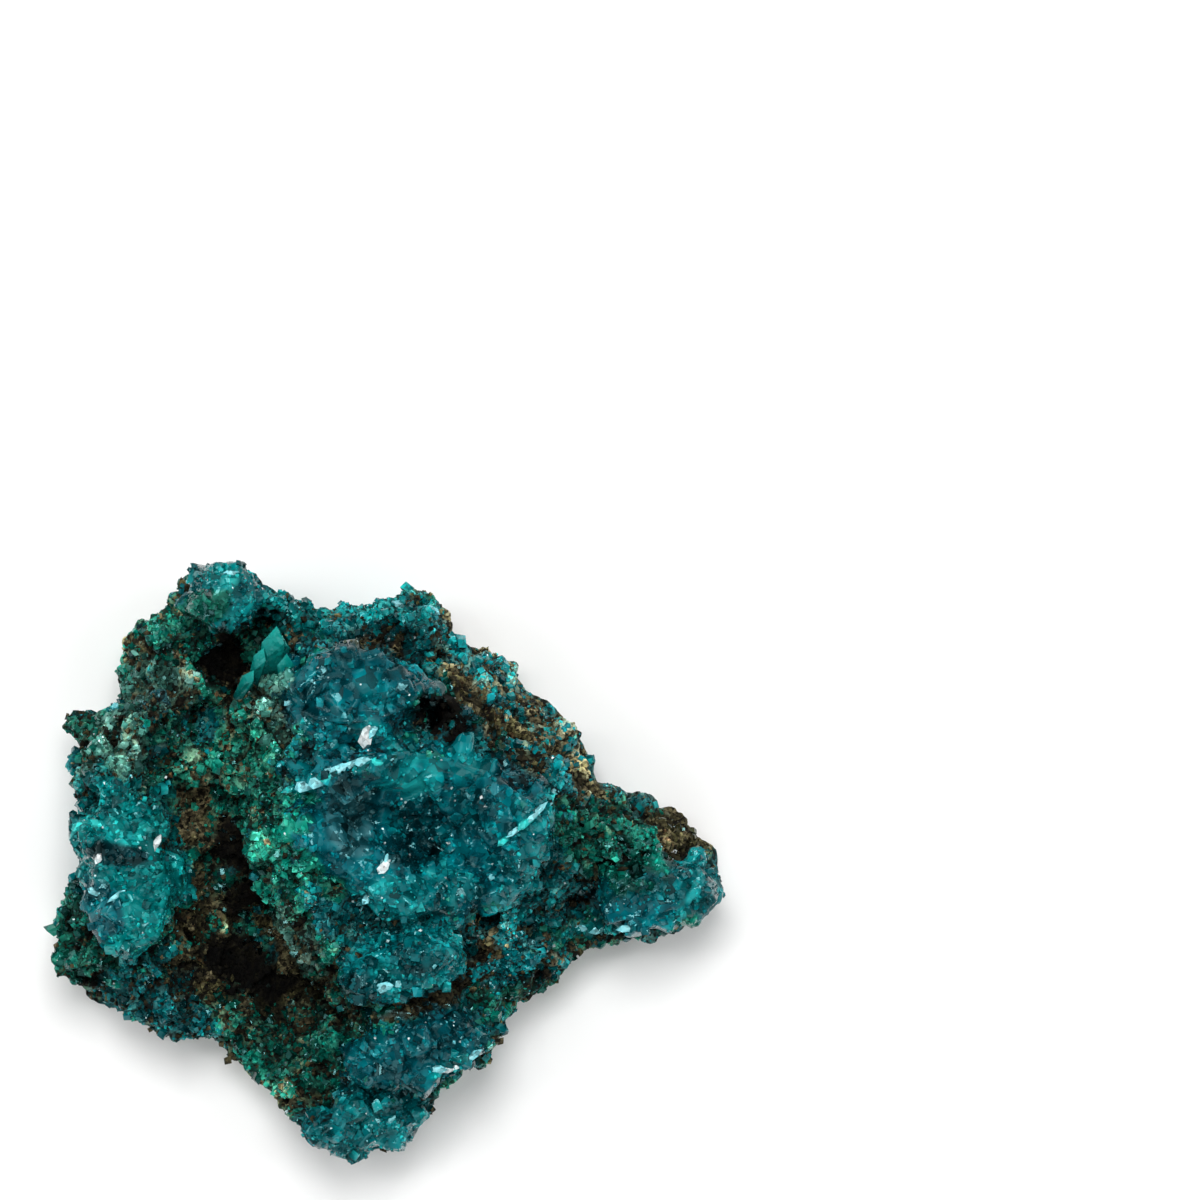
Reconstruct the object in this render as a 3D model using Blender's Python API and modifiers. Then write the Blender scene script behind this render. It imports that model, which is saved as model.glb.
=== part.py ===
"""A dioptase specimen: a craggy lump of brown limonite rock, crusted with blue-green dioptase.

The host rock is one piece, with its small crystals grown onto it. The larger crystals have
grown together in clusters, and each cluster is a piece of its own that sits on the rock.

Units are metres. +Z is up. The origin is on the surface that the specimen rests on, under the
middle of its outline. Seen from straight above, +X runs to the right and +Y runs up the view.
Lists of places and sizes are in millimetres and are multiplied by MM where they are used.
"""

import math
import random
from dataclasses import dataclass

import bmesh
import bpy
from mathutils import Matrix, Vector, noise
from mathutils.bvhtree import BVHTree

MM = 0.001

# The host rock's widest outline, clockwise from the round knob at its upper left
OUTLINE = (
    (-17.2, 32.0), (-14.0, 29.8), (-12.5, 28.2), (-8.0, 26.8), (-5.0, 26.4), (-1.5, 27.6),
    (3.0, 28.6), (5.5, 27.0), (9.5, 22.2), (14.8, 17.8), (19.5, 12.5), (22.3, 9.0),
    (31.0, 6.2), (35.2, 2.5), (36.8, -1.8), (33.8, -6.2), (28.5, -9.4), (23.0, -11.2),
    (15.5, -16.2), (9.0, -24.0), (5.0, -29.2), (-2.0, -33.0), (-9.5, -31.0), (-14.5, -26.0),
    (-19.5, -21.4), (-25.0, -21.2), (-29.5, -18.6), (-36.6, -14.4), (-37.2, -4.5),
    (-34.8, 1.0), (-34.8, 7.0), (-33.5, 12.0), (-34.8, 14.2), (-31.0, 17.8), (-29.0, 22.4),
    (-25.2, 25.6), (-20.0, 28.4),
)

# The rock's two plates: the wide one with that outline, and the foot under it, which draws in
RIM_PLATE = (3.0, 9.0, 0.95)
FOOT_PLATE = (-3.0, 6.0, 0.84)
PLATE_ROUNDING = 2.6
FOOT_MIDDLE = (-2.0, -1.0)

# Boulders that break up the sides: how many, their half-sizes, the heights of their tops, and
# how far inside the outline they end
SIDE_BOULDERS = 54
BOULDER_SIZE = (2.4, 4.8)
BOULDER_HEIGHT = (5.0, 15.0)
BOULDER_INSET = 0.5

# The rest face is a flat broken face at height zero, and what hangs below it is trimmed away
TRIM_SIZE = 200.0

# Surface sizes of the rock: the grid that fuses its lumps, its triangles, and its roughness
FUSE_GRID = 0.7
ROCK_TRIANGLES = 3200
COARSE_RELIEF = (7.0, 0.6)
MEDIUM_RELIEF = (3.6, 0.55)
FINE_RELIEF = (2.0, 0.3)

# Crystals: the steepness of a dioptase rhombohedron's faces, how a druse is sown, and the
# angle up to which neighbouring triangles count as one facet
RHOMB_STEEPNESS = 1.233
DART_TRIES = 60
FACET_ANGLE = 1.0
SOWN_REACH = 0.9
STEEPEST = 0.3

# Clusters keep clear of the rock by this much: the rock grown so far, on this grid, is cut away
CLEARANCE = 0.55
CLEARANCE_GRID = 0.5
CLEARANCE_TRIANGLES = 4600

# The crystals of a cluster stand in a bed of their own kind: its height over the rock, its
# triangles over the whole rock, how wavy its edge is, and how deep and high its column reaches
BED_HEIGHT = 1.6
BED_TRIANGLES = 1600
BED_WAVE = 0.14
BED_REACH = (8.0, 14.0)


@dataclass(frozen=True)
class Lump:
    """A rounded mass, in mm and degrees: middle in plan, height of its top, half-sizes, turn."""

    x: float
    y: float
    top: float
    half_x: float
    half_y: float
    half_z: float
    turn: float = 0.0


# The masses that the host rock is made of, from its core outwards
ROCK_LUMPS = (
    # core and the shoulders round the crystal hollow
    Lump(1.0, 3.0, 24.0, 18.0, 14.0, 15.0, 10),
    Lump(14.0, 3.0, 23.0, 10.5, 10.0, 14.0),
    Lump(-3.0, 18.5, 25.5, 9.5, 8.0, 15.0),
    Lump(-5.0, 12.0, 28.5, 7.5, 4.0, 9.0, 12),
    Lump(8.0, 14.5, 25.0, 7.0, 5.5, 10.0, -30),
    Lump(17.0, 6.0, 25.0, 3.6, 6.0, 9.0, -38),
    # upper right mass and the long slope that runs down from it
    Lump(2.5, 24.6, 22.5, 5.2, 4.4, 12.0),
    Lump(-3.5, 23.4, 20.5, 4.4, 3.8, 10.0),
    Lump(9.9, 17.7, 18.0, 6.5, 4.8, 12.0, -45),
    Lump(16.6, 11.8, 16.0, 7.0, 4.3, 11.0, -45),
    # right arm and its tip
    Lump(25.0, -1.0, 15.0, 9.0, 8.0, 11.0, -15),
    Lump(25.5, 1.8, 19.0, 4.8, 4.0, 7.0, -20),
    Lump(32.0, -1.6, 12.5, 4.7, 5.0, 8.0),
    Lump(28.0, -6.0, 10.5, 6.5, 3.0, 6.0, 12),
    # wall of the crystal hollow, on the left, above the cavity
    Lump(-10.5, 2.5, 26.0, 5.0, 8.0, 12.0, 15),
    Lump(-7.0, -6.5, 24.0, 5.5, 7.0, 11.0, 28),
    Lump(-3.0, -12.5, 20.5, 4.5, 4.5, 9.0, 30),
    # lower masses and the lower tip
    Lump(3.0, -13.0, 20.0, 9.0, 6.0, 12.0, 20),
    Lump(4.0, -9.5, 22.5, 5.5, 3.6, 8.0, 15),
    Lump(14.0, -10.0, 16.0, 7.0, 5.5, 10.0, 35),
    Lump(2.5, -20.0, 18.0, 9.0, 5.5, 10.0, 15),
    Lump(8.5, -19.5, 17.0, 4.2, 4.0, 7.0),
    Lump(-2.0, -27.5, 12.5, 6.8, 5.0, 8.0, 8),
    Lump(-11.0, -22.5, 8.0, 6.0, 4.5, 6.0, -40),
    # left lobe, from its shoulder down to its lower end
    Lump(-24.6, 22.3, 17.5, 4.9, 4.3, 10.0, 35),
    Lump(-25.5, 16.5, 22.0, 4.2, 4.6, 9.0),
    Lump(-29.0, 9.5, 23.0, 5.2, 6.0, 11.0),
    Lump(-27.5, 2.0, 21.5, 5.4, 5.5, 11.0),
    Lump(-27.5, -5.5, 20.5, 5.6, 5.6, 11.0),
    Lump(-33.0, -7.5, 15.0, 3.8, 5.5, 9.0),
    Lump(-27.0, -12.5, 15.0, 5.0, 4.4, 9.0),
    Lump(-23.8, -16.8, 10.5, 3.4, 3.6, 7.0),
    Lump(-33.8, 14.0, 14.5, 2.0, 2.0, 4.5),
    # flank of the left lobe and the saddle that joins it to the core
    Lump(-22.0, -2.0, 14.5, 3.6, 8.0, 10.0),
    Lump(-20.5, -11.0, 11.5, 3.8, 4.5, 8.0, 20),
    Lump(-20.0, 10.8, 17.0, 4.6, 2.8, 9.0, -10),
    Lump(-22.0, 20.5, 16.0, 3.2, 4.6, 9.0),
    # knob at the upper left, its neighbour, and the boss below them
    Lump(-17.2, 28.2, 21.5, 4.3, 3.9, 8.0),
    Lump(-10.3, 27.0, 17.5, 2.7, 2.5, 6.0),
    Lump(-12.6, 16.8, 22.5, 3.8, 4.4, 8.0, -20),
)

# Masses cut out of it: the crystal hollow, the cavity under the wall, clefts and small vugs
ROCK_HOLLOWS = (
    Lump(4.8, 3.0, 35.0, 11.4, 7.6, 10.0, -12),
    Lump(-14.2, -10.5, 26.0, 4.4, 6.0, 11.0, 28),
    Lump(-10.8, -15.5, 22.0, 5.6, 3.6, 9.0, -35),
    Lump(-9.0, -12.2, 16.5, 5.4, 4.2, 6.0, -35),
    Lump(-30.8, 0.6, 25.0, 1.9, 1.7, 6.5),
    Lump(5.6, 16.2, 27.0, 2.6, 1.6, 4.5, -25),
    Lump(9.8, -9.6, 22.0, 1.9, 2.4, 4.5, -20),
)

# Clefts: the line of the bottom as x, y and height, then the half-width
UPPER_CLEFT = (((-14.8, 25.0, 14.0), (-17.5, 23.5, 11.0), (-18.8, 19.5, 9.5), (-19.2, 15.5, 8.5)), 1.5)
LONG_CLEFT = (((-18.6, 7.0, 14.0), (-17.8, 3.5, 9.0), (-16.7, -0.5, 6.0), (-16.4, -6.0, 5.0)), 1.7)
LOWER_GROOVE = (((0.5, -16.8, 16.0), (5.0, -16.0, 15.5), (9.5, -14.2, 14.0), (13.0, -13.2, 12.5)), 1.0)
FOOT_GROOVE = (((-7.0, -22.0, 10.0), (-2.0, -24.0, 10.5), (3.0, -24.6, 11.0)), 1.1)
CLEFTS = (UPPER_CLEFT, LONG_CLEFT, LOWER_GROOVE, FOOT_GROOVE)
CLEFT_HEIGHT = 34.0


@dataclass(frozen=True)
class Druse:
    """A patch of crystals on the rock, in mm and degrees.

    The patch is an ellipse around a middle point, seen along facing. spacing is the least
    distance between two crystals, width and stand their sizes across and above the rock, and
    lean how far they may tilt from the surface's own direction.
    """

    name: str
    middle: tuple
    facing: tuple
    half: tuple
    turn: float
    spacing: float
    width: tuple
    stand: tuple
    lean: float
    seed: int


# Clusters of large crystals: each one grows together and is a piece of its own
CLUSTERS = (
    Druse("central_hollow_crystals", (4.6, 3.4, 18.0), (0, 0, 1), (13.0, 8.6), -12,
          3.0, (3.2, 5.4), (2.0, 3.9), 24, 11),
    Druse("upper_crystal_cluster", (-3.0, 18.8, 25.0), (0.05, 0.1, 1), (7.0, 4.0), 0,
          2.9, (3.1, 5.0), (1.9, 3.2), 28, 12),
    Druse("left_lobe_crystals", (-28.0, -2.2, 19.0), (-0.2, -0.05, 1), (4.8, 8.2), 4,
          3.1, (3.0, 4.6), (1.8, 3.0), 28, 13),
    Druse("lower_ridge_crystals", (2.4, -11.4, 21.0), (0, -0.1, 1), (6.2, 2.4), 14,
          2.8, (2.9, 4.5), (1.8, 3.0), 28, 18),
    Druse("lower_crystal_cluster", (4.0, -20.6, 17.0), (0.1, -0.1, 1), (7.4, 3.0), 14,
          2.9, (3.0, 5.2), (1.9, 3.3), 26, 14),
    Druse("foot_crystal_cluster", (-2.8, -29.0, 11.0), (0.05, -0.2, 1), (6.0, 2.4), 4,
          2.7, (2.8, 4.2), (1.8, 2.8), 28, 15),
    Druse("right_tip_crystals", (30.2, -3.0, 10.0), (0.1, -0.3, 1), (6.2, 3.6), 0,
          2.8, (2.8, 4.2), (1.7, 2.7), 28, 16),
    Druse("knob_crystals", (-17.3, 28.4, 20.0), (-0.1, 0.25, 1), (4.0, 3.3), 0,
          2.6, (2.6, 3.8), (1.7, 2.6), 28, 17),
)

# Small crystals that are part of the rock's own crust
CRUSTS = (
    Druse("wall_crust", (-10.0, -1.0, 24.0), (-0.1, 0, 1), (4.0, 10.0), 22,
          3.4, (2.0, 3.2), (0.6, 1.1), 34, 21),
    Druse("left_crust", (-28.6, 12.0, 22.0), (-0.3, 0, 1), (4.6, 5.6), 0,
          3.6, (2.0, 3.0), (0.6, 1.1), 34, 22),
    Druse("arm_crust", (23.5, 1.4, 17.0), (0, 0.1, 1), (6.0, 3.4), -20,
          3.6, (2.0, 3.0), (0.6, 1.1), 34, 23),
    Druse("lower_crust", (13.0, -10.5, 15.0), (0.2, -0.3, 1), (5.5, 3.0), 32,
          3.6, (2.0, 3.0), (0.6, 1.1), 34, 24),
    Druse("summit_crust", (3.4, 25.4, 21.0), (0.1, 0.3, 1), (4.2, 2.6), 0,
          3.4, (2.0, 3.0), (0.6, 1.1), 34, 25),
)

# One pointed blue-green crystal stands alone between the knob and the upper cluster
BLADE_BASE = (-11.6, 22.4, 17.0)
BLADE_AIM = (0.05, 0.42, 1.0)
BLADE_WIDTH = 3.6
BLADE_LENGTH = 7.5
BLADE_ROOT_WIDTH = 4.6
BLADE_FLATNESS = 0.7
BLADE_SPIN = 0.4

# Finishes: colour, roughness and metallic value
LIMONITE = ("limonite_rock", (0.13, 0.095, 0.06, 1.0), 0.85, 0.0)
DIOPTASE = ("dioptase", (0.0, 0.22, 0.24, 1.0), 0.18, 0.0)
PALE_DIOPTASE = ("pale_dioptase", (0.01, 0.34, 0.30, 1.0), 0.15, 0.0)


def clear_scene():
    """Remove whatever the file opened with."""
    for obj in list(bpy.data.objects):
        bpy.data.objects.remove(obj, do_unlink=True)


def new_collection(name):
    """Add a collection to the scene and return it."""
    collection = bpy.data.collections.new(name)
    bpy.context.scene.collection.children.link(collection)
    return collection


def new_object(name, mesh, collection):
    """Add an object with this mesh to a collection and return it."""
    obj = bpy.data.objects.new(name, mesh)
    collection.objects.link(obj)
    return obj


def as_helper(obj):
    """Mark an object as a guide or cutter, which is no part of the specimen."""
    obj.hide_render = True
    obj.display_type = "WIRE"
    return obj


def finish_material(finish):
    """The material of a finish, made the first time that it is asked for."""
    name, colour, roughness, metallic = finish
    material = bpy.data.materials.get(name)
    if material is None:
        material = bpy.data.materials.new(name)
        material.use_nodes = True
        shader = material.node_tree.nodes["Principled BSDF"]
        shader.inputs["Base Color"].default_value = colour
        shader.inputs["Roughness"].default_value = roughness
        shader.inputs["Metallic"].default_value = metallic
    return material


def evaluated_mesh(obj):
    """A new mesh that holds the object's shape with its modifiers and its place applied."""
    bpy.context.view_layer.update()
    graph = bpy.context.evaluated_depsgraph_get()
    mesh = bpy.data.meshes.new_from_object(obj.evaluated_get(graph))
    mesh.transform(obj.matrix_world)
    return mesh


def settle(obj):
    """Apply the object's modifiers and place, so that its mesh is its final shape."""
    mesh = evaluated_mesh(obj)
    obj.modifiers.clear()
    obj.data = mesh
    obj.matrix_world = Matrix.Identity(4)
    return obj


def edit_mesh(mesh, change):
    """Run change on a bmesh of this mesh, and store the result in it."""
    bm = bmesh.new()
    bm.from_mesh(mesh)
    change(bm)
    bm.to_mesh(mesh)
    bm.free()


def outline_plate(name, plate, helpers):
    """The rock's outline as a thick plate with rounded edges, scaled about the foot's middle."""
    bottom, top, scale = plate
    curve = bpy.data.curves.new(name, "CURVE")
    curve.dimensions = "2D"
    curve.fill_mode = "BOTH"
    curve.extrude = (top - bottom) / 2 * MM
    spline = curve.splines.new("POLY")
    spline.points.add(len(OUTLINE) - 1)
    middle = Vector(FOOT_MIDDLE)
    for point, place in zip(spline.points, OUTLINE):
        x, y = middle + (Vector(place) - middle) * scale
        point.co = (x * MM, y * MM, 0.0, 1.0)
    spline.use_cyclic_u = True
    guide = as_helper(new_object(name, curve, helpers))
    guide.location.z = (top + bottom) / 2 * MM
    slab = as_helper(new_object(name, evaluated_mesh(guide), helpers))
    edit_mesh(slab.data, lambda bm: bmesh.ops.remove_doubles(bm, verts=bm.verts, dist=0.01 * MM))
    bevel = slab.modifiers.new("rounding", "BEVEL")
    bevel.width = PLATE_ROUNDING * MM
    bevel.segments = 3
    bevel.limit_method = "ANGLE"
    bevel.angle_limit = math.radians(60)
    return settle(slab)


def side_boulders():
    """Boulders at even steps along the outline, a little inside it, at changing heights."""
    rng = random.Random(5)
    loop = [Vector(place) for place in OUTLINE]
    sides = list(zip(loop, loop[1:] + loop[:1]))
    around = sum((end - start).length for start, end in sides)
    boulders = []
    for index in range(SIDE_BOULDERS):
        left = around * index / SIDE_BOULDERS
        for start, end in sides:
            if left <= (end - start).length:
                break
            left -= (end - start).length
        along = (end - start).normalized()
        inward = Vector((along.y, -along.x))
        size = rng.uniform(*BOULDER_SIZE)
        spot = start + along * left + inward * (size + BOULDER_INSET)
        top = rng.uniform(*BOULDER_HEIGHT)
        boulders.append(Lump(spot.x, spot.y, top, size, size * 0.8, size * 1.1, rng.uniform(0, 180)))
    return boulders


def lump_matrix(lump):
    """Where a unit sphere goes to become this lump."""
    place = Vector((lump.x, lump.y, lump.top - lump.half_z)) * MM
    size = Vector((lump.half_x, lump.half_y, lump.half_z)) * MM
    turn = Matrix.Rotation(math.radians(lump.turn), 4, "Z")
    return Matrix.Translation(place) @ turn @ Matrix.Diagonal(size.to_4d())


def add_lumps(bm, lumps, roughness, seed):
    """Add each lump to bm as an ellipsoid, pushed in and out so that none looks turned."""
    for index, lump in enumerate(lumps):
        made = bmesh.ops.create_icosphere(bm, subdivisions=3, radius=1.0)
        shift = Vector((seed, index * 7.3, index * 3.1))
        for vertex in made["verts"]:
            push = noise.noise(vertex.co * 1.6 + shift) + 0.5 * noise.noise(vertex.co * 3.4 + shift)
            vertex.co *= 1 + roughness * push
        bmesh.ops.transform(bm, matrix=lump_matrix(lump), verts=made["verts"])


def cleft_object(name, cleft, helpers):
    """A cutter that follows a cleft's bottom line and opens upwards."""
    line, half_width = cleft
    bm = bmesh.new()
    steps = 5
    centres = []
    for start, end in zip(line, line[1:]):
        centres += [Vector(start).lerp(Vector(end), step / steps) for step in range(steps)]
    centres.append(Vector(line[-1]))
    for index, centre in enumerate(centres):
        wobble = 1 + 0.35 * noise.noise(Vector((index * 0.9, half_width, centre.x)))
        across = half_width * wobble
        tall = (CLEFT_HEIGHT - centre.z) / 2
        made = bmesh.ops.create_icosphere(bm, subdivisions=2, radius=1.0)
        place = Matrix.Translation((centre + Vector((0, 0, tall))) * MM)
        size = Matrix.Diagonal((across * MM, across * MM, tall * MM, 1.0))
        bmesh.ops.transform(bm, matrix=place @ size, verts=made["verts"])
    mesh = bpy.data.meshes.new(name)
    bm.to_mesh(mesh)
    bm.free()
    return as_helper(new_object(name, mesh, helpers))


def fuse(obj, grid=FUSE_GRID):
    """Melt overlapping bodies of an object into one skin on a fine grid."""
    remesh = obj.modifiers.new("fuse", "REMESH")
    remesh.mode = "VOXEL"
    remesh.voxel_size = grid * MM
    return settle(obj)


def cut(obj, cutter, operation="DIFFERENCE", solver="EXACT"):
    """Cut one object by another, or join the other to it."""
    boolean = obj.modifiers.new(operation.lower(), "BOOLEAN")
    boolean.operation = operation
    boolean.solver = solver
    boolean.object = cutter
    return settle(obj)


def relief(place):
    """How far the rock's surface stands out at a place, in metres: ridges, lumps and grain."""
    height = 0.0
    for size, amount in (COARSE_RELIEF, MEDIUM_RELIEF, FINE_RELIEF):
        value = noise.noise(place / (size * MM))
        height += amount * MM * (0.9 - 2.2 * abs(value) + value)
    return height


def roughen(mesh):
    """Push each point of the rock in or out along its normal by the relief there."""
    moves = [vertex.normal * relief(vertex.co) for vertex in mesh.vertices]
    for vertex, move in zip(mesh.vertices, moves):
        vertex.co += move


def keep_largest_body(mesh):
    """Delete every connected body of a mesh but the one with most faces."""
    bm = bmesh.new()
    bm.from_mesh(mesh)
    unseen = set(bm.faces)
    bodies = []
    while unseen:
        front = [unseen.pop()]
        body = list(front)
        while front:
            face = front.pop()
            near = {other for edge in face.edges for other in edge.link_faces} & unseen
            unseen -= near
            front += near
            body += near
        bodies.append(body)
    bodies.sort(key=len, reverse=True)
    stray = [face for body in bodies[1:] for face in body]
    bmesh.ops.delete(bm, geom=stray, context="FACES")
    bmesh.ops.delete(bm, geom=[v for v in bm.verts if not v.link_faces], context="VERTS")
    bm.to_mesh(mesh)
    bm.free()


def flatten_facets(obj):
    """Merge the triangles of each flat facet into one face."""
    merge = obj.modifiers.new("facets", "DECIMATE")
    merge.decimate_type = "DISSOLVE"
    merge.angle_limit = math.radians(FACET_ANGLE)
    return settle(obj)


def thinned(name, fine, triangles, helpers):
    """A copy of a fine object with about this many triangles."""
    obj = as_helper(new_object(name, fine.data.copy(), helpers))
    thin = obj.modifiers.new("thin", "DECIMATE")
    thin.ratio = triangles / (2 * len(obj.data.polygons))
    settle(obj)
    keep_largest_body(obj.data)
    return obj


def rock_form(helpers):
    """The bare host rock, finely: fused lumps, cut by hollows and clefts, and roughened."""
    mesh = bpy.data.meshes.new("host_rock")
    bm = bmesh.new()
    bm.from_mesh(outline_plate("rim_plate", RIM_PLATE, helpers).data)
    bm.from_mesh(outline_plate("foot_plate", FOOT_PLATE, helpers).data)
    add_lumps(bm, ROCK_LUMPS, 0.16, 1.0)
    add_lumps(bm, side_boulders(), 0.2, 3.0)
    bm.to_mesh(mesh)
    bm.free()
    rock = as_helper(new_object("host_rock_blank", mesh, helpers))
    fuse(rock)

    hollow_mesh = bpy.data.meshes.new("hollows")
    bm = bmesh.new()
    add_lumps(bm, ROCK_HOLLOWS, 0.12, 2.0)
    bm.to_mesh(hollow_mesh)
    bm.free()
    cutters = [as_helper(new_object("hollows", hollow_mesh, helpers))]
    cutters += [cleft_object(f"cleft_{n}", cleft, helpers) for n, cleft in enumerate(CLEFTS)]
    for cutter in cutters:
        cut(rock, fuse(cutter))
    fuse(rock)
    roughen(rock.data)
    return fuse(rock)


def grown_skin(name, obj, height, grid, triangles, helpers):
    """A body that stands out over a rock by this height all round."""
    skin = as_helper(new_object(name + "_fine", obj.data.copy(), helpers))
    moves = [vertex.normal * height * MM for vertex in skin.data.vertices]
    for vertex, move in zip(skin.data.vertices, moves):
        vertex.co += move
    return thinned(name, fuse(skin, grid), triangles, helpers)


def trim_box(helpers):
    """A cutter that takes away everything below the rest face."""
    mesh = bpy.data.meshes.new("trim")
    bm = bmesh.new()
    bmesh.ops.create_cube(bm, size=TRIM_SIZE * MM)
    bmesh.ops.translate(bm, vec=(0, 0, -TRIM_SIZE / 2 * MM), verts=bm.verts)
    bm.to_mesh(mesh)
    bm.free()
    return as_helper(new_object("trim", mesh, helpers))


def add_crystal(bm, root, aim, width, length, spin, root_share=0.8, flatness=1.0):
    """Add one dioptase crystal: a six-sided prism under a three-faced rhombohedral cap.

    root is the middle of its buried end and aim its long axis. The prism narrows towards
    the root, to root_share of its width.
    """
    radius = width / 2
    made = bmesh.ops.create_cone(
        bm, cap_ends=True, segments=6, radius1=radius * root_share, radius2=radius, depth=length
    )
    rim = [vertex for vertex in made["verts"] if vertex.co.z > 0]
    top = next(face for face in rim[0].link_faces if all(vertex in rim for vertex in face.verts))
    tip_height = length / 2
    for index, vertex in enumerate(top.verts):
        drop = RHOMB_STEEPNESS * radius * (1.0 if index % 2 else 0.5)
        vertex.co.z = tip_height - drop
    low_rim = [vertex for index, vertex in enumerate(top.verts) if index % 2]
    tip = bmesh.ops.poke(bm, faces=[top])["verts"][0]
    tip.co = (0, 0, tip_height)
    seams = [edge for edge in tip.link_edges if edge.other_vert(tip) in low_rim]
    bmesh.ops.dissolve_edges(bm, edges=seams)
    place = Matrix.Translation(root) @ aim.to_track_quat("Z", "Y").to_matrix().to_4x4()
    shape = Matrix.Rotation(spin, 4, "Z") @ Matrix.Diagonal((1.0, flatness, 1.0, 1.0))
    lift = Matrix.Translation((0, 0, length / 2))
    verts = [vertex for vertex in made["verts"] if vertex.is_valid] + [tip]
    bmesh.ops.transform(bm, matrix=place @ shape @ lift, verts=verts)


def patch_frame(druse):
    """The turn from a druse's own axes, across, up and facing, to the specimen's axes."""
    facing = Vector(druse.facing).normalized()
    across = (Vector((1, 0, 0)) - facing * facing.x).normalized()
    axes = Matrix((across, facing.cross(across), facing)).transposed()
    return axes @ Matrix.Rotation(math.radians(druse.turn), 3, "Z")


def druse_sites(druse, tree):
    """Points of a druse on the rock, with the rock's direction there, by throwing darts."""
    rng = random.Random(druse.seed)
    facing = Vector(druse.facing).normalized()
    frame = patch_frame(druse)
    half_u, half_v = druse.half
    wanted = int(math.pi * half_u * half_v / (0.62 * druse.spacing ** 2))
    sites = []
    for _ in range(wanted * DART_TRIES):
        if len(sites) >= wanted:
            break
        angle, reach = rng.uniform(0, math.tau), math.sqrt(rng.random()) * SOWN_REACH
        reach *= 1 + 0.18 * noise.noise(Vector((math.cos(angle), math.sin(angle), druse.seed)) * 1.5)
        spot = Vector((half_u * math.cos(angle), half_v * math.sin(angle), 0)) * reach
        start = (Vector(druse.middle) + frame @ spot + facing * 14) * MM
        place, normal, _, _ = tree.ray_cast(start, -facing)
        if place is None or normal.dot(facing) < STEEPEST:
            continue
        if all((place - other).length > druse.spacing * MM for other, _, _ in sites):
            sites.append((place, normal, reach))
    return sites


def druse_crystals(druse, tree):
    """The crystals of a druse, largest in its middle, each as the arguments of add_crystal."""
    rng = random.Random(druse.seed + 100)
    facing = Vector(druse.facing).normalized()
    crystals = []
    for place, normal, reach in druse_sites(druse, tree):
        share = rng.random() * (1.15 - 0.45 * min(reach, 1.0))
        width = druse.width[0] + (druse.width[1] - druse.width[0]) * share
        stand = druse.stand[0] + (druse.stand[1] - druse.stand[0]) * share
        lean = math.tan(math.radians(druse.lean))
        aim = normal * 1.2 + facing * 0.4
        aim += Vector([rng.uniform(-lean, lean) for _ in range(3)])
        aim.normalize()
        cap = RHOMB_STEEPNESS * width / 2
        depth = 0.8 * width
        root = place - aim * depth * MM
        length = depth + stand + 0.35 * cap
        crystals.append((root, aim, width * MM, length * MM, rng.uniform(0, math.tau)))
    return crystals


def druse_bed(druse, skin, helpers):
    """The rock's grown skin inside a wavy column that stands on the druse's patch."""
    turn = patch_frame(druse).to_4x4()
    depth, height = BED_REACH
    bm = bmesh.new()
    made = bmesh.ops.create_cone(
        bm, cap_ends=True, segments=22, radius1=1.0, radius2=1.0, depth=depth + height
    )
    for vertex in made["verts"]:
        around = Vector((vertex.co.x, vertex.co.y, 0))
        wave = 1 + BED_WAVE * noise.noise(around * 1.9 + Vector((druse.seed, 0, 0)))
        vertex.co.x *= wave * druse.half[0]
        vertex.co.y *= wave * druse.half[1]
        vertex.co.z += (height - depth) / 2
    place = Matrix.Scale(MM, 4) @ Matrix.Translation(druse.middle) @ turn
    bmesh.ops.transform(bm, matrix=place, verts=made["verts"])
    mesh = bpy.data.meshes.new(druse.name + "_bed")
    bm.to_mesh(mesh)
    bm.free()
    bed = as_helper(new_object(mesh.name, mesh, helpers))
    return cut(bed, skin, "INTERSECT", "MANIFOLD")


def crystals_united(name, crystals, helpers, bed=None):
    """One helper object for a bed and crystals, each given by the arguments of add_crystal."""
    united = bed
    for index, crystal in enumerate(crystals):
        mesh = bpy.data.meshes.new(f"{name}_{index}")
        bm = bmesh.new()
        add_crystal(bm, *crystal)
        bm.to_mesh(mesh)
        bm.free()
        obj = as_helper(new_object(mesh.name, mesh, helpers))
        united = obj if united is None else cut(united, obj, "UNION", "MANIFOLD")
    return united


def grown_piece(name, crystals, finish, clearance, specimen, helpers, bed=None):
    """A separate piece of crystals: one body that follows the rock at the clearance."""
    united = crystals_united(name + "_blank", crystals, helpers, bed)
    piece = new_object(name, united.data.copy(), specimen)
    cut(piece, clearance, "DIFFERENCE", "MANIFOLD")
    flatten_facets(piece)
    keep_largest_body(piece.data)
    piece.data.materials.clear()
    piece.data.materials.append(finish_material(finish))
    return piece


def search_tree(mesh):
    """A tree that finds the nearest point and the ray hits of a mesh."""
    return BVHTree.FromPolygons(
        [vertex.co.copy() for vertex in mesh.vertices],
        [tuple(face.vertices) for face in mesh.polygons],
    )


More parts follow.
